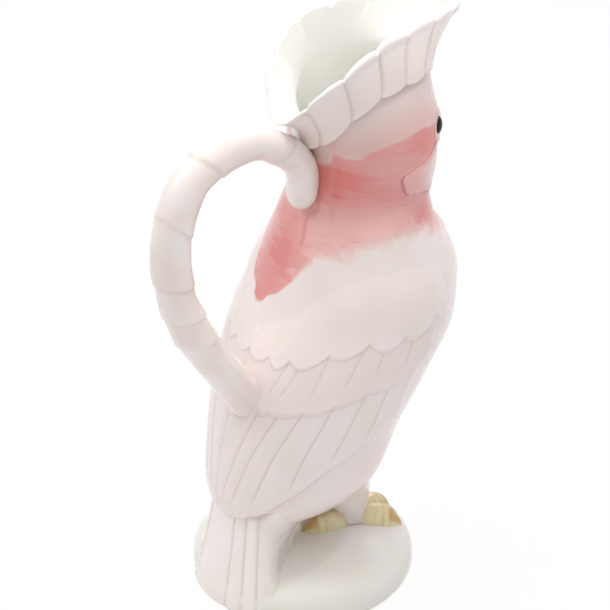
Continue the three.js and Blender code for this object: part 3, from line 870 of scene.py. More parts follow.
@dataclass
class Wing:
    """A folded wing in three tiers of feathers that overlap down the bird's side.

    Spans named place hold a middle and its spread. edge_roll and edge_shade hold an amount and how far it reaches:
    edge_shade is painted shade along each tier's lower edge, and hidden_shade is painted shade on the rolled-under lip
    and the hidden back.
    """

    side: Side
    stations: int = 190
    depth_rows: int = 44
    lip_rows: int = 7
    tuck: float = 5
    sunk: float = 1.5
    lip: float = 1.6
    front_roll: float = 8
    front_sunk: float = 0.9
    back_roll: float = 4
    arc: float = 0.85
    fade: Span = (0.2, 0.65)
    bead: float = 0.35
    shoulder: float = 1.3
    groove: float = 0.3
    groove_half: float = 0.6
    shift: Span = (75, 145)
    hang: float = 1.6
    rise: Span = (0.1, 0.8)
    top_slope: float = 5
    top_sunk: float = 0.35
    shoulder_place: Span = (0.42, 0.2)
    shoulder_ends: Pairs = ((0.03, 0.25), (0.95, 0.6))
    scallop_round: float = 0.7
    groove_start: Span = (0.02, 0.1)
    groove_fades: Span = (0.1, 0.25)
    vane_level: float = 0.6
    wash_fade: Span = (0.15, 0.55)
    edge_roll: Span = (0.7, 2.4)
    bead_place: Span = (2.2, 1.6)
    edge_shade: Span = (0.5, 0.7)
    hidden_shade: float = 0.9

    def feature_angle(self, angle: Array) -> Array:
        """The angle at which the right wing has the same feather."""
        return angle + (WING_BACKS[Side.RIGHT] - WING_BACKS[self.side]) * ease(angle, *self.shift)

    def lifted(self, row: FeatherRow, down: Array, run: Array) -> Array:
        """How far a tier's plain face stands out from the skin."""
        top, edge = (lerp(front, back, ease(run, *self.fade)) for front, back in row.lift)
        if not row.tangent_top:
            return lerp(top, edge, down**self.hang)
        out = edge * ease(down, *self.rise) - self.top_slope * np.clip(self.rise[0] - down, 0, 1) - self.top_sunk
        return out + self.shoulder * hump(down, *self.shoulder_place) * between(run, self.shoulder_ends)

    def tier(self, row: FeatherRow, glaze: bpy.types.Material) -> None:
        """Models one tier as a closed sheet: outer face, rolled lower lip, and a back within the wall."""
        run = steps(0, 1, self.stations)
        count = self.depth_rows
        roll = np.linspace(0, np.pi, self.lip_rows)[1:-1]
        lip = slice(count, count + len(roll))
        inner = np.linspace(1, 0, self.lip_rows)
        down = np.concatenate([np.linspace(0, 1, count), np.ones_like(roll), inner])[None]
        back = WING_BACKS[self.side]
        front = lerp(*row.front, down)
        true_angle = lerp(front, back, run)
        angle = self.feature_angle(true_angle)
        top = SmoothCurve(row.top)(angle) + (0 if row.tangent_top else self.tuck)
        scallop = np.abs(np.sin(np.pi * among(row.parts_edge, angle))) ** self.scallop_round
        edge = SmoothCurve(row.edge)(angle) - row.scallop * scallop
        height = lerp(top, edge, down)

        # Grooves run between the feathers, each a little convex
        parts = [lerp(a, b, down) for a, b in zip(row.parts_top, row.parts_edge)]
        to_part = np.min([np.abs(angle - part) for part in parts[1:-1]], axis=0) * self.arc
        first, last = row.grooved
        fade_in, fade_out = self.groove_fades
        shown = ease(down, first, first + fade_in) * ease(down, last, last - fade_out)
        shown = shown * ease(run, *self.groove_start)
        groove = hump(to_part, 0, self.groove_half) * shown
        convex = np.abs(np.sin(np.pi * among(parts, angle)))
        out = self.lifted(row, down, run) + row.vane * shown * (convex - self.vane_level) - self.groove * groove

        # The edge is beaded and rolled under, and the front and the back run into the skin
        to_edge = (1 - down) * (top - edge)
        depth, width = self.edge_roll
        out = out - depth * np.clip(1 - to_edge / width, 0, 1) ** 2 + self.bead * hump(to_edge, *self.bead_place)
        ahead = np.clip((true_angle - front) / self.front_roll, 0, 1)
        behind = np.clip((back - true_angle) / self.back_roll, 0, 1)
        rolled = np.sqrt(1 - (1 - ahead) ** 2)
        out = lerp(-self.front_sunk, out, rolled) - (1 - behind) ** 2
        out[:, lip] = lerp(out[:, count - 1 : count], -self.sunk, half_wave(roll))
        out[:, lip.stop :] = -self.sunk
        height[:, lip] -= self.lip * np.sin(roll) * rolled[:, count - 1 : count]
        # Painted shade: the grooves' colour is also laid along each tier's lower edge and over its rolled-under lip
        # and hidden back
        thin = row.wash * (ease(down, *self.wash_fade) if row.tangent_top else 1)
        most, width = self.edge_shade
        groove_colour_and_shade = np.maximum(np.maximum(groove, thin), most * hump(to_edge, 0.0, width) * rolled)
        groove_colour_and_shade[:, count:] = self.hidden_shade
        turn = self.side.value * true_angle
        clay = Clay().tube(SKIN.point(turn, height, out), BRUSHWORK.lay(turn, height, groove_colour_and_shade))
        clay.fire(self.side.node(row.node), Slot.PLUMAGE, glaze)

    def build(self, glaze: bpy.types.Material) -> None:
        """Models the three tiers."""
        for row in FEATHER_ROWS:
            self.tier(row, glaze)


@dataclass
class Tail:
    """The fan that hangs from under the wing tips, down the back of the plinth.

    parts holds the angles at which its feathers part, at the top and at the foot. heel gives, over the height, how far
    forward the fan's two sides run before they meet under the vent.
    """

    top: float = 37
    tucked: float = 9
    foot: float = 1 - PLINTH_HEIGHT
    radii: Span = (50.5, PLINTH_RADIUS + 1.2)
    flare: float = 1.2
    spreads: Span = (23, 31)
    parts: tuple[tuple[float, ...], tuple[float, ...]] = ((-40, -17, 4.6, 13.2, 21, 44), (-46, -25, 4.8, 15.2, 24, 50))
    heel: Pairs = ((-20, -17), (0, -15), (6, -10), (14, -3.5), (24, 1), (40, -5))
    heel_half: float = 5.5
    groove: float = 0.45
    groove_half: float = 0.75
    vane: float = 0.5
    vane_level: float = 0.7
    heel_pull: float = 0.55
    heel_spread: float = 3
    edge_start: float = 0.8
    edge_depth: float = 2.2
    tuck_depth: float = 8
    corner: float = 7
    corner_turn: float = 42
    fillet: float = 3.5
    fillet_rise: float = 3
    blend: float = 9
    hidden: float = 0.5
    wiped: float = 7
    rows: int = 96
    across: int = 116
    flank: int = 44

    def fan(self, height: Array, fall: Array) -> tuple[Array, Array]:
        """The grooved outer face, row by row, and how deep each point lies in a groove."""
        radius = lerp(*self.radii, fall**self.flare)
        spread = lerp(*self.spreads, fall)
        turn = np.linspace(-1, 1, self.across)[None] * spread
        parts = [lerp(top, foot, fall) for top, foot in zip(*self.parts)]
        to_part = np.min([np.abs(turn - part) for part in parts[1:-1]], axis=0) * np.radians(radius)
        groove = hump(to_part, 0, self.groove_half)
        convex = np.abs(np.sin(np.pi * among(parts, turn)))
        out = radius + self.vane * (convex - self.vane_level) - self.groove * groove
        rolled = np.clip((np.abs(turn) / spread - self.edge_start) / (1 - self.edge_start), 0, 1)
        out = out - self.edge_depth * rolled**2
        out = out - self.tuck_depth * ease(height, self.top - 2, self.top + self.tucked)
        heading = np.radians(180 + turn)
        return joined(out * np.cos(heading), out * np.sin(heading), height), groove

    def into_belly(self, x: Array, flank: Array, height: Array) -> Array:
        """How far a side lies from the middle once it runs into the belly with a soft fillet."""
        belly = SKIN.width(x, height)
        near = np.clip(self.blend - np.abs(flank - belly), 0, None)
        inside = self.hidden * ease(belly - flank, 0.3 * self.blend, self.blend)
        return np.maximum(flank, belly) + near**2 / (4 * self.blend) - inside

    def side(self, edge: Array, height: Array, fall: Array) -> tuple[Array, Array]:
        """One side, from the fan's edge to the heel, spreading on to the plinth, and its height above the plinth."""
        way = np.linspace(0, 1, self.flank + 1)[None, 1:]
        start, sign = edge[:, :1], np.sign(edge[:, 1:2])
        wide = np.abs(edge[:, 1:2])
        heel = SmoothCurve(self.heel)(height)
        turned = np.radians(lerp(*self.spreads, fall) + self.corner_turn)
        x = pulled(way, (start, start + self.corner * np.sin(turned), lerp(start, heel, self.heel_pull), heel))
        spread = self.heel_half + self.heel_spread
        y = pulled(way, (wide, wide + self.corner * np.cos(turned), spread, self.heel_half))
        y = self.into_belly(x, y, height)
        above = np.clip(height - Plinth().lie(x, y), 0, None)
        y = y + self.fillet * np.exp(-above / self.fillet_rise) * ease(way, -0.3, 0.3)
        return joined(x, sign * y, height), above

    def build(self, glaze: bpy.types.Material) -> None:
        """Models the fan and its sides as closed slices stacked from the top to the foot."""
        height = steps(self.top + self.tucked, self.foot, self.rows)
        fall = np.clip((self.top - height) / (self.top - self.foot), 0, 1)
        fan, groove = self.fan(height, fall)
        right, right_above = self.side(fan[:, -1], height, fall)
        left, left_above = self.side(fan[:, 0], height, fall)
        points = np.concatenate([fan, right, left[:, ::-1]], axis=1)
        wear = np.zeros_like(points)
        bare = ease(np.concatenate([right_above, left_above[:, ::-1]], axis=1), self.wiped, 0)
        wear[:, : self.across, 0] = groove
        wear[:, : self.across, 1] = bare[:, :1] * np.abs(np.linspace(-1, 1, self.across)) ** 10
        wear[:, self.across :, 1] = bare
        unpainted = BRUSHWORK.far * np.array([-1, 1, -1])
        Clay().tube(points, {"wear": wear, "band": unpainted}).fire("tail_fan", Slot.PLUMAGE, glaze)


@dataclass
class Leg:
    """A feathered trouser that widens into the belly, more so behind than in front.

    folds holds their depth, their count and where they start. painted_as holds the angles in front and behind, and
    the rise, at which the skin's paint is taken.
    """

    side: Side
    stance: Span = (26, 10.5)
    foot_radius: float = 8.2
    top_radii: Span = (15.5, 30)
    fillets: Span = (6, 13)
    slopes: Span = (-0.7, 2)
    knee: Span = (0.45, 8)
    sunk: float = 0.4
    probe: float = 2
    folds: Triple = (0.25, 7, 0.8)
    painted_as: Triple = (60, 100, 18)
    around: int = 84
    rows: int = 48

    def build(self, glaze: bpy.types.Material) -> None:
        """Sweeps a curve from the foot up on to the belly, all the way round."""
        phi = full_turn(self.around)
        x, y = self.stance[0], self.side.value * self.stance[1]
        cosine, sine = np.cos(phi), np.sin(phi)
        behind = half_wave(phi) ** 1.5
        top_radius = lerp(*self.top_radii, behind)
        fillet = lerp(*self.fillets, behind)
        meet, near = (SKIN.underside(x + r * cosine, y + r * sine) for r in (top_radius, top_radius - self.probe))
        slope = np.clip((meet - near) / self.probe, *self.slopes)
        t = steps(0, 1, self.rows)
        radius = pulled(t, (self.foot_radius, self.foot_radius + 0.3 + behind, top_radius - fillet, top_radius))
        share, knee = self.knee
        height = pulled(t, (self.sunk, lerp(share * meet, knee, behind), meet - fillet * slope, meet + self.sunk))
        deep, count, start = self.folds
        radius = radius + deep * np.sin(count * phi + start) * ease(t, 0.9, 0.2)
        points = joined(x + radius * cosine, y + radius * sine, height)
        front, back, raised = self.painted_as
        paint = BRUSHWORK.lay(self.side.value * lerp(front, back, half_wave(phi)), height + raised)
        Clay().tube(points, paint).fire(self.side.node("leg"), Slot.ROSE, glaze)


TOE_TIPS: dict[Side, Pairs] = {
    Side.RIGHT: ((0, 3.5), (48, 13), (42, 28.5)),
    Side.LEFT: ((5, 9), (48, 13), (42, 28.5)),
}


@dataclass
class Foot:
    """Two toes in front and one behind, each with a claw, lying over the plinth's shoulder.

    pad and nail each hold a middle, a reach and a power along the toe.
    """

    side: Side
    stance: Span = (25, 12)
    gap: float = 5
    thickness: float = 13
    height: float = 10
    claw: float = 6
    creases: Span = (0.6, 0.8)
    crease_half: float = 0.025
    crease_depth: float = 0.03
    ends: Span = (-0.1, 1.16)
    pad: Triple = (0.47, 0.62, 2.6)
    nail: Triple = (1.0, 0.16, 2)
    nail_rise: float = 0.8
    nail_start: Span = (0.74, 0.84)
    nail_top: Span = (0.2, 0.6)
    square: Span = (0.85, 0.8)
    bare_below: Span = (0.35, 0.1)
    crease_colour: float = 0.5
    drop: float = 9
    sunk: float = 0.6
    around: int = 36
    rows: int = 44

    def toe(self, clay: Clay, tip: Span) -> None:
        """Models one toe with its creases and its claw."""
        start, end = (np.array([x, self.side.value * y]) for x, y in (self.stance, tip))
        way = (end - start) / np.linalg.norm(end - start)
        start = start + way * self.gap
        t = lerp(*self.ends, half_wave(steps(0.05, np.pi - 0.03, self.rows)))
        phi = full_turn(self.around)
        cosine, sine = np.cos(phi), np.sin(phi)
        pad, nail = (
            np.clip(1 - np.abs((t - middle) / reach) ** power, 0, 1) ** 0.5
            for middle, reach, power in (self.pad, self.nail)
        )
        crease = sum(hump(t, place, self.crease_half) for place in self.creases)
        pad = pad * (1 - self.crease_depth * crease)
        wide = np.maximum(pad * self.thickness, nail * self.claw) / 2
        tall = np.maximum(pad * self.height, nail * self.claw * self.nail_rise)
        along_x, along_y = ((start + (end - start) * t)[:, k : k + 1] for k in (0, 1))
        offset = wide * np.sign(cosine) * np.abs(cosine) ** self.square[0]
        lie = np.clip(Plinth().lie(along_x, along_y), -self.drop, 0)
        z = lie - self.sunk + tall * np.sign(sine) * np.abs(sine) ** self.square[1]
        points = joined(along_x - way[1] * offset, along_y + way[0] * offset, z)
        nailed = ease(t, *self.nail_start) * ease(sine, *self.nail_top)
        wear = joined(self.crease_colour * crease, nailed, ease(sine, *self.bare_below))
        clay.tube(points, {"wear": wear})

    def build(self, glaze: bpy.types.Material) -> None:
        """Models the three toes."""
        clay = Clay()
        for tip in TOE_TIPS[self.side]:
            self.toe(clay, tip)
        clay.fire(self.side.node("foot"), Slot.OCHRE, glaze)


@dataclass
class Beak:
    """Half of the bill: ovals stacked down the face.

    Each section is a height, the places of its back and front along X from the face, and half its width.
    """

    node: str
    sections: tuple[tuple[float, float, float, float], ...]
    face_height: float = 218
    flatness: float = 12
    keel: float = 0.18
    tip_wear: float = 0.55
    thin: float = 0.6
    around: int = 48
    rows: int = 56

    def build(self, glaze: bpy.types.Material) -> None:
        """Models the half as one rounded form."""
        share = half_wave(steps(0, np.pi, self.rows))
        height = lerp(self.sections[0][0], self.sections[-1][0], share)
        rising = self.sections[::-1]
        back, front, half = (SmoothCurve([(s[0], s[k]) for s in rising])(height) for k in (1, 2, 3))
        phi = full_turn(self.around)
        closing = np.sqrt(np.clip(1 - (2 * share - 1) ** self.flatness, 0.001, 1))
        face = SKIN.oval(self.face_height)[2]
        x = face + (front + back) / 2 + (front - back) / 2 * closing * np.cos(phi)
        y = half * closing * np.sin(phi) * (1 - self.keel * np.cos(phi))
        wear = joined(0, self.tip_wear * ease(share, 0.55, 1), self.thin)
        Clay().tube(joined(x, y, height), {"wear": wear}).fire(self.node, Slot.OCHRE, glaze)


UPPER_BEAK = (
    (230, -3, 0, 3), (226, -3, 6, 8), (218, -3, 10, 10.5), (208, -3.5, 10.5, 9), (200, 2, 9.5, 5), (195, 4.5, 7, 1.5),
)
LOWER_BEAK = ((206, -5, 4, 6), (200, -5, 5, 7), (194, -6, 3, 5.5), (190, -6, -1, 2))


@dataclass
class Eye:
    """A glossy black bead of glaze."""

    side: Side
    radius: float = 4.5
    proud: float = 2.5
    around: int = 40
    rows: int = 28

    def build(self, glaze: bpy.types.Material) -> None:
        """Models the bead, low and round, square to the skin."""
        angle, height = self.side.value * BRUSHWORK.eye[0], BRUSHWORK.eye[1]
        along = SKIN.point(angle + 1, height) - SKIN.point(angle - 1, height)
        rise = SKIN.point(angle, height + 1) - SKIN.point(angle, height - 1)
        along, rise = along / np.linalg.norm(along), rise / np.linalg.norm(rise)
        polar = steps(0.02, np.pi - 0.02, self.rows)[..., None]
        phi = full_turn(self.around)[..., None]
        flat = np.sin(polar) * (np.cos(phi) * along + np.sin(phi) * rise)
        points = SKIN.point(angle, height) + self.radius * flat + self.proud * np.cos(polar) * np.cross(along, rise)
        Clay().tube(points).fire(self.side.node("eye"), Slot.BLACK, glaze)


Socket = bpy.types.NodeSocket
Adder = Callable[..., Socket]
Layers = tuple[str, Sequence[tuple[Socket, Socket | str]]]


def linear(code: str) -> tuple[float, float, float, float]:
    """Turns an sRGB hex colour into linear light.

    Args:
        code: Six hex digits after a hash.

    Returns:
        Red, green, blue and an alpha of 1.
    """
    parts = np.array([int(code[k : k + 2], 16) for k in (1, 3, 5)]) / 255
    light = np.where(parts <= 0.04045, parts / 12.92, ((parts + 0.055) / 1.055) ** 2.4)
    return (*map(float, light), 1.0)


def add(
    tree: bpy.types.NodeTree, kind: str, inputs: dict | None = None, out: int | str = 0, **settings: str | bool
) -> Socket | None:
    """Adds a shader node with its settings and links.

    A MapRange node's inputs 1 to 4 are where its range starts and ends, and what it gives there. A Mix node's inputs
    0, 6 and 7 are its share and its two colours, and output 2 is the mixed colour.

    Args:
        tree: The node tree.
        kind: The node's type, without the words that all shader nodes share.
        inputs: Values, hex colours or sockets for its inputs, by name or number.
        out: The output to hand back, by name or number.
        **settings: The node's own settings.

    Returns:
        That output, or nothing for a node that ends the tree.
    """
    node = tree.nodes.new(f"ShaderNode{kind}")
    for name, value in settings.items():
        setattr(node, name, value)
    for name, value in (inputs or {}).items():
        if isinstance(value, Socket):
            tree.links.new(value, node.inputs[name])
        else:
            node.inputs[name].default_value = linear(value) if isinstance(value, str) else value
    return node.outputs[out] if node.outputs else None


@dataclass(frozen=True)
class Glaze:
    """A clear gloss glaze fired over painted earthenware.

    The glaze is glass about half a millimetre thick: it gives sharp reflections, a slightly wavy surface and colour
    that lies beneath the gloss. patch is the size of the places where the slip lies thicker or thinner.
    """

    name: str
    roughness: float = 0.09
    ior: float = 1.5
    mirror: float = 0.5
    wave: float = 22
    wave_depth: float = 0.12
    patch: float = 24

    def amounts(self, node: Adder, paint: str) -> Sequence[Socket]:
        """The three amounts of a kind of paint that the points carry."""
        return node("SeparateXYZ", {0: node("Attribute", out="Vector", attribute_name=paint)}).node.outputs

    def paint(self, node: Adder, place: Socket) -> Layers:
        """The colours under the glaze.

        Args:
            node: Adds a node to the material.
            place: The piece's coordinates, in metres.

        Returns:
            The ground colour, and the washes over it in order, each as its amount and its colour.
        """
        raise NotImplementedError

    def build(self) -> bpy.types.Material:
        """Makes the material: the ground, the washes over it, and the clear glaze over them."""
        material = bpy.data.materials.new(self.name)
        material.use_nodes = True
        material.node_tree.nodes.clear()
        node = partial(add, material.node_tree)
        place = node("TexCoord", out="Object")
        colour, washes = self.paint(node, place)
        for amount, hue in washes:
            colour = node("Mix", {0: amount, 6: colour, 7: hue}, 2, data_type="RGBA")
        ripple = node("TexNoise", {"Vector": place, "Scale": 1 / (self.wave * MM), "Detail": 1.0})
        bump = node("Bump", {"Height": ripple, "Strength": 1.0, "Distance": self.wave_depth * MM})
        gloss = {"Roughness": self.roughness, "IOR": self.ior, "Specular IOR Level": self.mirror}
        surface = node("BsdfPrincipled", {"Base Color": colour, "Normal": bump, **gloss})
        node("OutputMaterial", {"Surface": surface})
        return material


@dataclass(frozen=True)
class PlumageGlaze(Glaze):
    """Painted plumage under clear glaze: thin washes of pink laid with a wide brush on a near-white slip."""

    name: str = "painted_plumage_under_clear_glaze"
    slip: str = "#ece1df"
    beige: str = "#e9ded8"
    mauve: str = "#dccbc7"
    wash: str = "#d9b0ab"
    pink: str = "#dd9996"
    coral: str = "#d87a75"
    rose: str = "#edbab5"
    streak: str = "#d8aba2"
    blush: str = "#efcfcd"
    jaw: str = "#dfa9a6"
    face: str = "#e0cac2"
    red: str = "#b4595c"
    groove: str = "#d6c3bc"
    cream: str = "#e9e6dd"
    patch: float = 26
    stroke: Span = (34, 5.5)
    bristle: Span = (19, 1.9)
    block: Span = (26, 13)
    dab: float = 9

    def paint(self, node: Adder, place: Socket) -> Layers:
        """The slip, and the washes that the pieces carry."""
        soft = {"interpolation_type": "SMOOTHSTEP"}
        mantle, nape, face = self.amounts(node, "band")
        coral, rose, blush = self.amounts(node, "tint")
        groove, inside, pool_and_shade = self.amounts(node, "wear")
        stroke_place, bristle_place, block_place = (
            node("Mapping", {
                "Vector": place, "Rotation": (0.1, tilt, 0), "Scale": tuple(1 / (size[k] * MM) for k in (0, 0, 1)),
            })
            for size, tilt in ((self.stroke, 0.2), (self.bristle, 0.12), (self.block, 0.16))
        )
        stroke = node("TexNoise", {"Vector": stroke_place, "Scale": 1.0, "Detail": 3.0, "Roughness": 0.6})
        bristle = node("TexNoise", {"Vector": bristle_place, "Scale": 1.0, "Detail": 2.0})
        shaken = node("VectorMath", {0: bristle.node.outputs["Color"], 1: block_place}, operation="ADD")
        block = node("SeparateXYZ", {0: node("TexVoronoi", {"Vector": shaken, "Scale": 1.0}, "Color")})
        patch = node("TexNoise", {"Vector": place, "Scale": 1 / (self.patch * MM), "Detail": 2.0})
        dab = node("TexNoise", {"Vector": place, "Scale": 1 / (self.dab * MM), "Detail": 3.0})

        # The slip shows warm and cool by turns, as it is thicker or thinner, and the crown carries a pale wash
        warm = node("MapRange", {0: patch, 1: 0.4, 2: 0.62})
        above = node("MapRange", {0: nape, 1: 4.0, 2: -2.0}, **soft)
        faded = node("MapRange", {0: nape, 1: -13.0, 2: 1.0, 4: 0.95}, **soft)
        crown = node("Math", {0: faded, 1: above}, operation="MULTIPLY")
        blushed = node("Math", {0: blush, 1: 0.75}, operation="MULTIPLY")

        # Pink: deep where the loaded brush was set down, pale and streaked where it ran dry
        uneven = node("Math", {0: block, 1: 0.6, 2: -0.32}, operation="MULTIPLY_ADD")
        loaded = node("Math", {0: coral, 1: 1.15, 2: uneven}, operation="MULTIPLY_ADD", use_clamp=True)
        dry = node("MapRange", {0: stroke, 1: 0.46, 2: 0.72, 4: 0.5}, **soft)
        combed = node("MapRange", {0: bristle, 1: 0.44, 2: 0.7, 4: 0.38}, **soft)
        dry = node("Math", {0: dry, 1: combed}, operation="MAXIMUM")
        thin = node("MapRange", {0: loaded, 3: 1.0, 4: 0.25})
        dry = node("Math", {0: dry, 1: thin}, operation="MULTIPLY")
        pink = self.pink
        for amount, hue in ((rose, self.rose), (loaded, self.coral), (dry, self.streak)):
            pink = node("Mix", {0: amount, 6: pink, 7: hue}, 2, data_type="RGBA")

        # The edges of the wash wander with the strokes, and the face is left bare
        ragged = node("Math", {0: dab, 1: -0.5}, operation="ADD")
        wander = node("Math", {0: stroke, 1: -0.5}, operation="ADD")
        low = node("Math", {0: ragged, 1: 2.6, 2: mantle}, operation="MULTIPLY_ADD")
        low = node("MapRange", {0: low, 1: -1.0, 2: 1.0}, **soft)
        high = node("Math", {0: wander, 1: 5.0, 2: nape}, operation="MULTIPLY_ADD")
        high = node("MapRange", {0: high, 1: -1.0, 2: 0.8}, **soft)
        painted = node("Math", {0: low, 1: high}, operation="MULTIPLY")
        bare = node("MapRange", {0: face, 1: 1.4, 2: -0.4}, **soft)
        washed = node("Math", {0: painted, 1: bare}, operation="MULTIPLY")
        shown = node("MapRange", {0: face, 1: -0.4, 2: 1.5}, **soft)
        pale = node("MapRange", {0: face, 1: 9.0, 2: 23.0}, **soft)
        cheek = node("Mix", {0: pale, 6: self.jaw, 7: self.face}, 2, data_type="RGBA")

        # A fine line of red lies along the jaw, and red lies by the handle's foot, as gathered colour and painted
        # shade
        beside = node("Math", {0: face}, operation="ABSOLUTE")
        lined = node("MapRange", {0: beside, 1: 1.5, 2: 0.2, 4: 0.62}, **soft)
        lined = node("Math", {0: lined, 1: painted}, operation="MULTIPLY")
        pooled = node("Math", {0: pool_and_shade, 1: 0.8, 2: lined}, operation="MULTIPLY_ADD", use_clamp=True)
        # The groove colour lies in the grooves, and is painted shade along the wings' tier edges and under their lips
        shaded = node("Math", {0: groove, 1: 0.7}, operation="MULTIPLY", use_clamp=True)
        return self.slip, (
            (warm, self.beige), (above, self.mauve), (crown, self.wash), (blushed, self.blush), (shown, cheek),
            (washed, pink), (pooled, self.red), (shaded, self.groove), (inside, self.cream),
        )


PALE_TAIL = PlumageGlaze(name="pale_tail_slip_under_clear_glaze", slip="#f4ebe9", beige="#f1e8e2", groove="#dccac3")


@dataclass(frozen=True)
class CrestGlaze(Glaze):
    """The crest's slip under clear glaze: pinkish beige outside, thinning to near white on the rim, cream within."""

    name: str = "crest_slip_under_clear_glaze"
    foot: str = "#e9dbd5"
    rim: str = "#efe5e2"
    cream: str = "#f6f5ef"
    groove: str = "#cdb9b1"
    patch: float = 20

    def paint(self, node: Adder, place: Socket) -> Layers:
        """Thick slip at the foot, thin slip near the rim, grooves that hold it, and a cream inside."""
        groove, inside, rise = self.amounts(node, "wear")
        patch = node("TexNoise", {"Vector": place, "Scale": 1 / (self.patch * MM), "Detail": 2.0})
        uneven = node("Math", {0: patch, 1: 0.5, 2: -0.25}, operation="MULTIPLY_ADD")
        pale = node("Math", {0: rise, 1: uneven}, operation="ADD", use_clamp=True)
        shaded = node("Math", {0: groove, 1: 0.6}, operation="MULTIPLY", use_clamp=True)
        return self.foot, ((pale, self.rim), (shaded, self.groove), (inside, self.cream))


@dataclass(frozen=True)
class BranchGlaze(Glaze):
    """The handle's slip under clear glaze: near white with a breath of pink, darker where it gathers at the nodes."""

    name: str = "branch_slip_under_clear_glaze"
    slip: str = "#eee5e2"
    warm: str = "#eadcd6"
    node: str = "#cbb9b4"

    def paint(self, node: Adder, place: Socket) -> Layers:
        """Slip in warm and cool patches, gathered at the nodes."""
        groove, _, _ = self.amounts(node, "wear")
        patch = node("TexNoise", {"Vector": place, "Scale": 1 / (self.patch * MM), "Detail": 2.0})
        uneven = node("MapRange", {0: patch, 1: 0.38, 2: 0.62})
        gathered = node("Math", {0: groove, 1: 0.45}, operation="MULTIPLY", use_clamp=True)
        return self.slip, ((uneven, self.warm), (gathered, self.node))


@dataclass(frozen=True)
class PlinthGlaze(Glaze):
    """Cream earthenware under clear glaze, wiped bare along the foot before firing."""

    name: str = "cream_earthenware_under_clear_glaze"
    cream: str = "#e8e4da"
    cool: str = "#e7e4e0"
    bare: str = "#d8cbb4"
    patch: float = 34
    wiped: float = 1.2

    def paint(self, node: Adder, place: Socket) -> Layers:
        """Cream in warm and cool patches, and bare clay along the foot."""
        patch = node("TexNoise", {"Vector": place, "Scale": 1 / (self.patch * MM), "Detail": 2.0})
        uneven = node("MapRange", {0: patch, 1: 0.38, 2: 0.62})
        height = node("SeparateXYZ", {0: place}, "Z")
        wiped = node("MapRange", {0: height, 1: self.wiped * MM, 2: 0.6 * self.wiped * MM})
        return self.cream, ((uneven, self.cool), (wiped, self.bare))


@dataclass(frozen=True)
class OchreGlaze(Glaze):
    """Ochre underglaze brushed on in short strokes, so the cream body shows between them."""

    name: str = "brushed_ochre_under_clear_glaze"
    roughness: float = 0.12
    ochre: str = "#e0d09d"
    pale: str = "#ebe0bf"
    dark: str = "#bd934b"
    stroke: Span = (2.2, 16)

    def paint(self, node: Adder, place: Socket) -> Layers:
        """Ochre with pale strokes, thin underneath, and dark on claws and in creases."""
        crease, claw, low = self.amounts(node, "wear")
        fine, long = (1 / (size * MM) for size in self.stroke)
        along = node("Mapping", {"Vector": place, "Scale": (fine, fine, long)})
        stroke = node("TexNoise", {"Vector": along, "Scale": 1.0, "Detail": 2.0})
        thin = node("MapRange", {0: stroke, 1: 0.36, 2: 0.72})
        unpainted = node("Math", {0: low, 1: 0.7}, operation="MULTIPLY")
        tipped = node("Math", {0: claw, 1: 0.8}, operation="MULTIPLY")
        creased = node("Math", {0: crease, 1: 0.6}, operation="MULTIPLY", use_clamp=True)
        return self.ochre, ((thin, self.pale), (unpainted, self.pale), (tipped, self.dark), (creased, self.dark))


@dataclass(frozen=True)
class BlackGlaze(Glaze):
    """Black enamel dot under clear glaze: a deep mirror with a trace of brown where it is thin."""

    name: str = "black_enamel_under_clear_glaze"
    roughness: float = 0.04
    mirror: float = 0.2
    black: str = "#120f0e"
    brown: str = "#241a16"
    patch: float = 3

    def paint(self, node: Adder, place: Socket) -> Layers:
        """Black that thins to brown in patches."""
        patch = node("TexNoise", {"Vector": place, "Scale": 1 / (self.patch * MM), "Detail": 1.0})
        return self.black, ((patch, self.brown),)


MIDDLE = (1.457, 0.0, 155.449)
MOUTH = (25, 5, 280)


@dataclass(frozen=True)
class Softbox:
    """A square lamp: its place from its target in metres (away from the camera, to its left, and up) and its light.

    A mirrored one is seen in the glaze, and the others are screened from it. spread is the angle that its light fills.
    """

    name: str
    place: Triple
    size: float
    power: float
    mirrored: bool = False
    target: Triple = MIDDLE
    spread: float = 180


SOFTBOXES = (
    Softbox("key_softbox", (-0.56, 0, 1.12), 1.0, 4.52),
    Softbox("rear_softbox", (0.4, 0, 1.15), 1.0, 8.0),
    Softbox("left_softbox", (0, 0.8, 0.9), 0.6, 4.2, mirrored=True),
    Softbox("right_softbox", (0, -0.8, 0.9), 1.0, 2.05),
    Softbox("low_softbox", (-1.1, 0, 0.3), 1.0, 0.9),
    Softbox("mouth_softbox", (0, -0.42, 0.9), 0.16, 0.03, target=MOUTH, spread=16),
    Softbox("back_softbox", (1.1, 0, 0.5), 0.26, 1.6, mirrored=True),
)


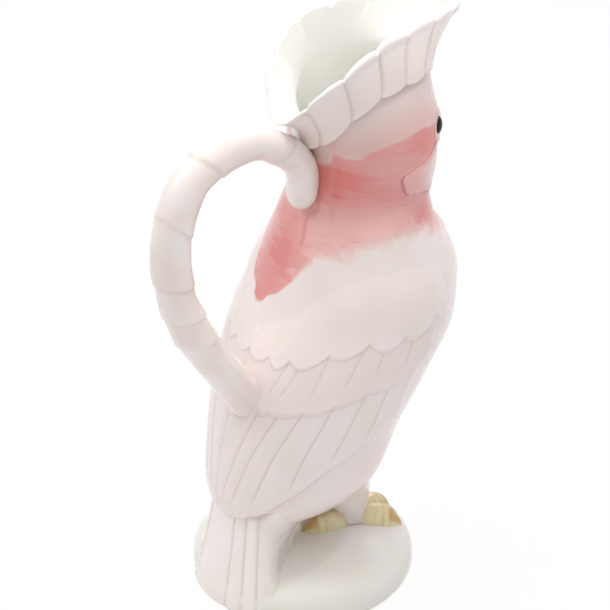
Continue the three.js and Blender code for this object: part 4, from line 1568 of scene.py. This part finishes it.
@dataclass
class Studio:
    """Pale floor, soft light and the camera at the photograph's viewing angle."""

    camera_place: Triple = (-525.25, -584.97, 591.78)
    focal_share: float = 1800 / 610
    sensor: float = 36
    clip: Span = (0.01, 50)
    floor_size: float = 8
    floor_lift: float = 0.93
    fill: float = 0.4
    paper: str = "#f2f2f2"
    white: str = "#fbfafa"

    def aim(self, piece: bpy.types.Object, place: Vector, target: Vector) -> None:
        """Puts a camera or lamp at a place and points it at a target."""
        piece.location = place
        piece.rotation_euler = (target - place).to_track_quat("-Z", "Y").to_euler()
        bpy.context.scene.collection.objects.link(piece)

    def camera(self) -> None:
        """Makes the camera."""
        lens = bpy.data.cameras.new("camera")
        lens.sensor_width = self.sensor
        lens.lens = self.focal_share * self.sensor
        lens.clip_start, lens.clip_end = self.clip
        camera = bpy.data.objects.new("camera", lens)
        self.aim(camera, Vector(self.camera_place) * MM, Vector(MIDDLE) * MM)
        bpy.context.scene.camera = camera

    def lamps(self) -> None:
        """Makes the softboxes round the camera's line of sight."""
        look = Vector(MIDDLE) - Vector(self.camera_place)
        up = Vector((0, 0, 1))
        ways = (Vector((look.x, look.y, 0)).normalized(), up.cross(look).normalized(), up)
        for box in SOFTBOXES:
            light = bpy.data.lights.new(box.name, "AREA")
            light.shape, light.size, light.energy = "SQUARE", box.size, box.power
            light.spread = np.radians(box.spread)
            lamp = bpy.data.objects.new(box.name, light)
            lamp.visible_glossy = box.mirrored
            target = Vector(box.target) * MM
            self.aim(lamp, sum((way * far for way, far in zip(ways, box.place)), target), target)

    def seen(self, node: Adder) -> Socket:
        """1 for rays that show the room itself: straight, mirrored or through glass."""
        rays = node("LightPath").node.outputs
        shown = node("Math", {0: rays["Is Camera Ray"], 1: rays["Is Glossy Ray"]}, operation="MAXIMUM")
        return node("Math", {0: shown, 1: rays["Is Transmission Ray"]}, operation="MAXIMUM")

    def floor(self) -> None:
        """Makes the floor, white to the camera and in reflections, with the carafe's soft shadow left on it."""
        half = self.floor_size / 2
        mesh = bpy.data.meshes.new("floor")
        mesh.from_pydata([(-half, -half, 0), (half, -half, 0), (half, half, 0), (-half, half, 0)], [], [(0, 1, 2, 3)])
        material = bpy.data.materials.new("matt_white_paper")
        material.use_nodes = True
        material.node_tree.nodes.clear()
        node = partial(add, material.node_tree)
        paper = node("BsdfDiffuse", {"Color": self.paper})
        lit = node("Emission", {"Color": (1, 1, 1, 1), "Strength": 1.0})
        share = node("Math", {0: self.seen(node), 1: self.floor_lift}, operation="MULTIPLY")
        node("OutputMaterial", {"Surface": node("MixShader", {0: share, 1: paper, 2: lit})})
        mesh.materials.append(material)
        floor = bpy.data.objects.new("floor", mesh)
        bpy.context.scene.collection.objects.link(floor)

    def world(self) -> None:
        """Fills the room with even light, and shows it white to the camera and in reflections."""
        world = bpy.data.worlds.new("white_room")
        world.use_nodes = True
        world.node_tree.nodes.clear()
        node = partial(add, world.node_tree)
        level = node("MapRange", {0: self.seen(node), 3: self.fill, 4: 1.0})
        node("OutputWorld", {"Surface": node("Background", {"Color": self.white, "Strength": level})})
        bpy.context.scene.world = world

    def build(self) -> None:
        """Sets the camera, the floor, the room and the lamps."""
        self.camera()
        self.floor()
        self.world()
        self.lamps()
        bpy.context.scene.view_settings.view_transform = "Standard"


def main() -> None:
    """Builds the carafe piece by piece, then the studio."""
    logging.basicConfig(level=logging.INFO, format="%(name)s: %(message)s")
    plumage = PlumageGlaze().build()
    ochre = OchreGlaze().build()
    black = BlackGlaze().build()
    Plinth().build(PlinthGlaze().build())
    Body().build(plumage)
    Crest().build(CrestGlaze().build())
    Handle().build(BranchGlaze().build())
    Tail().build(PALE_TAIL.build())
    for side in Side:
        Wing(side).build(plumage)
    Beak("upper_beak", UPPER_BEAK).build(ochre)
    Beak("lower_beak", LOWER_BEAK).build(ochre)
    for side in Side:
        Leg(side).build(plumage)
        Foot(side).build(ochre)
        Eye(side).build(black)
    Studio().build()


if __name__ == "__main__":
    main()
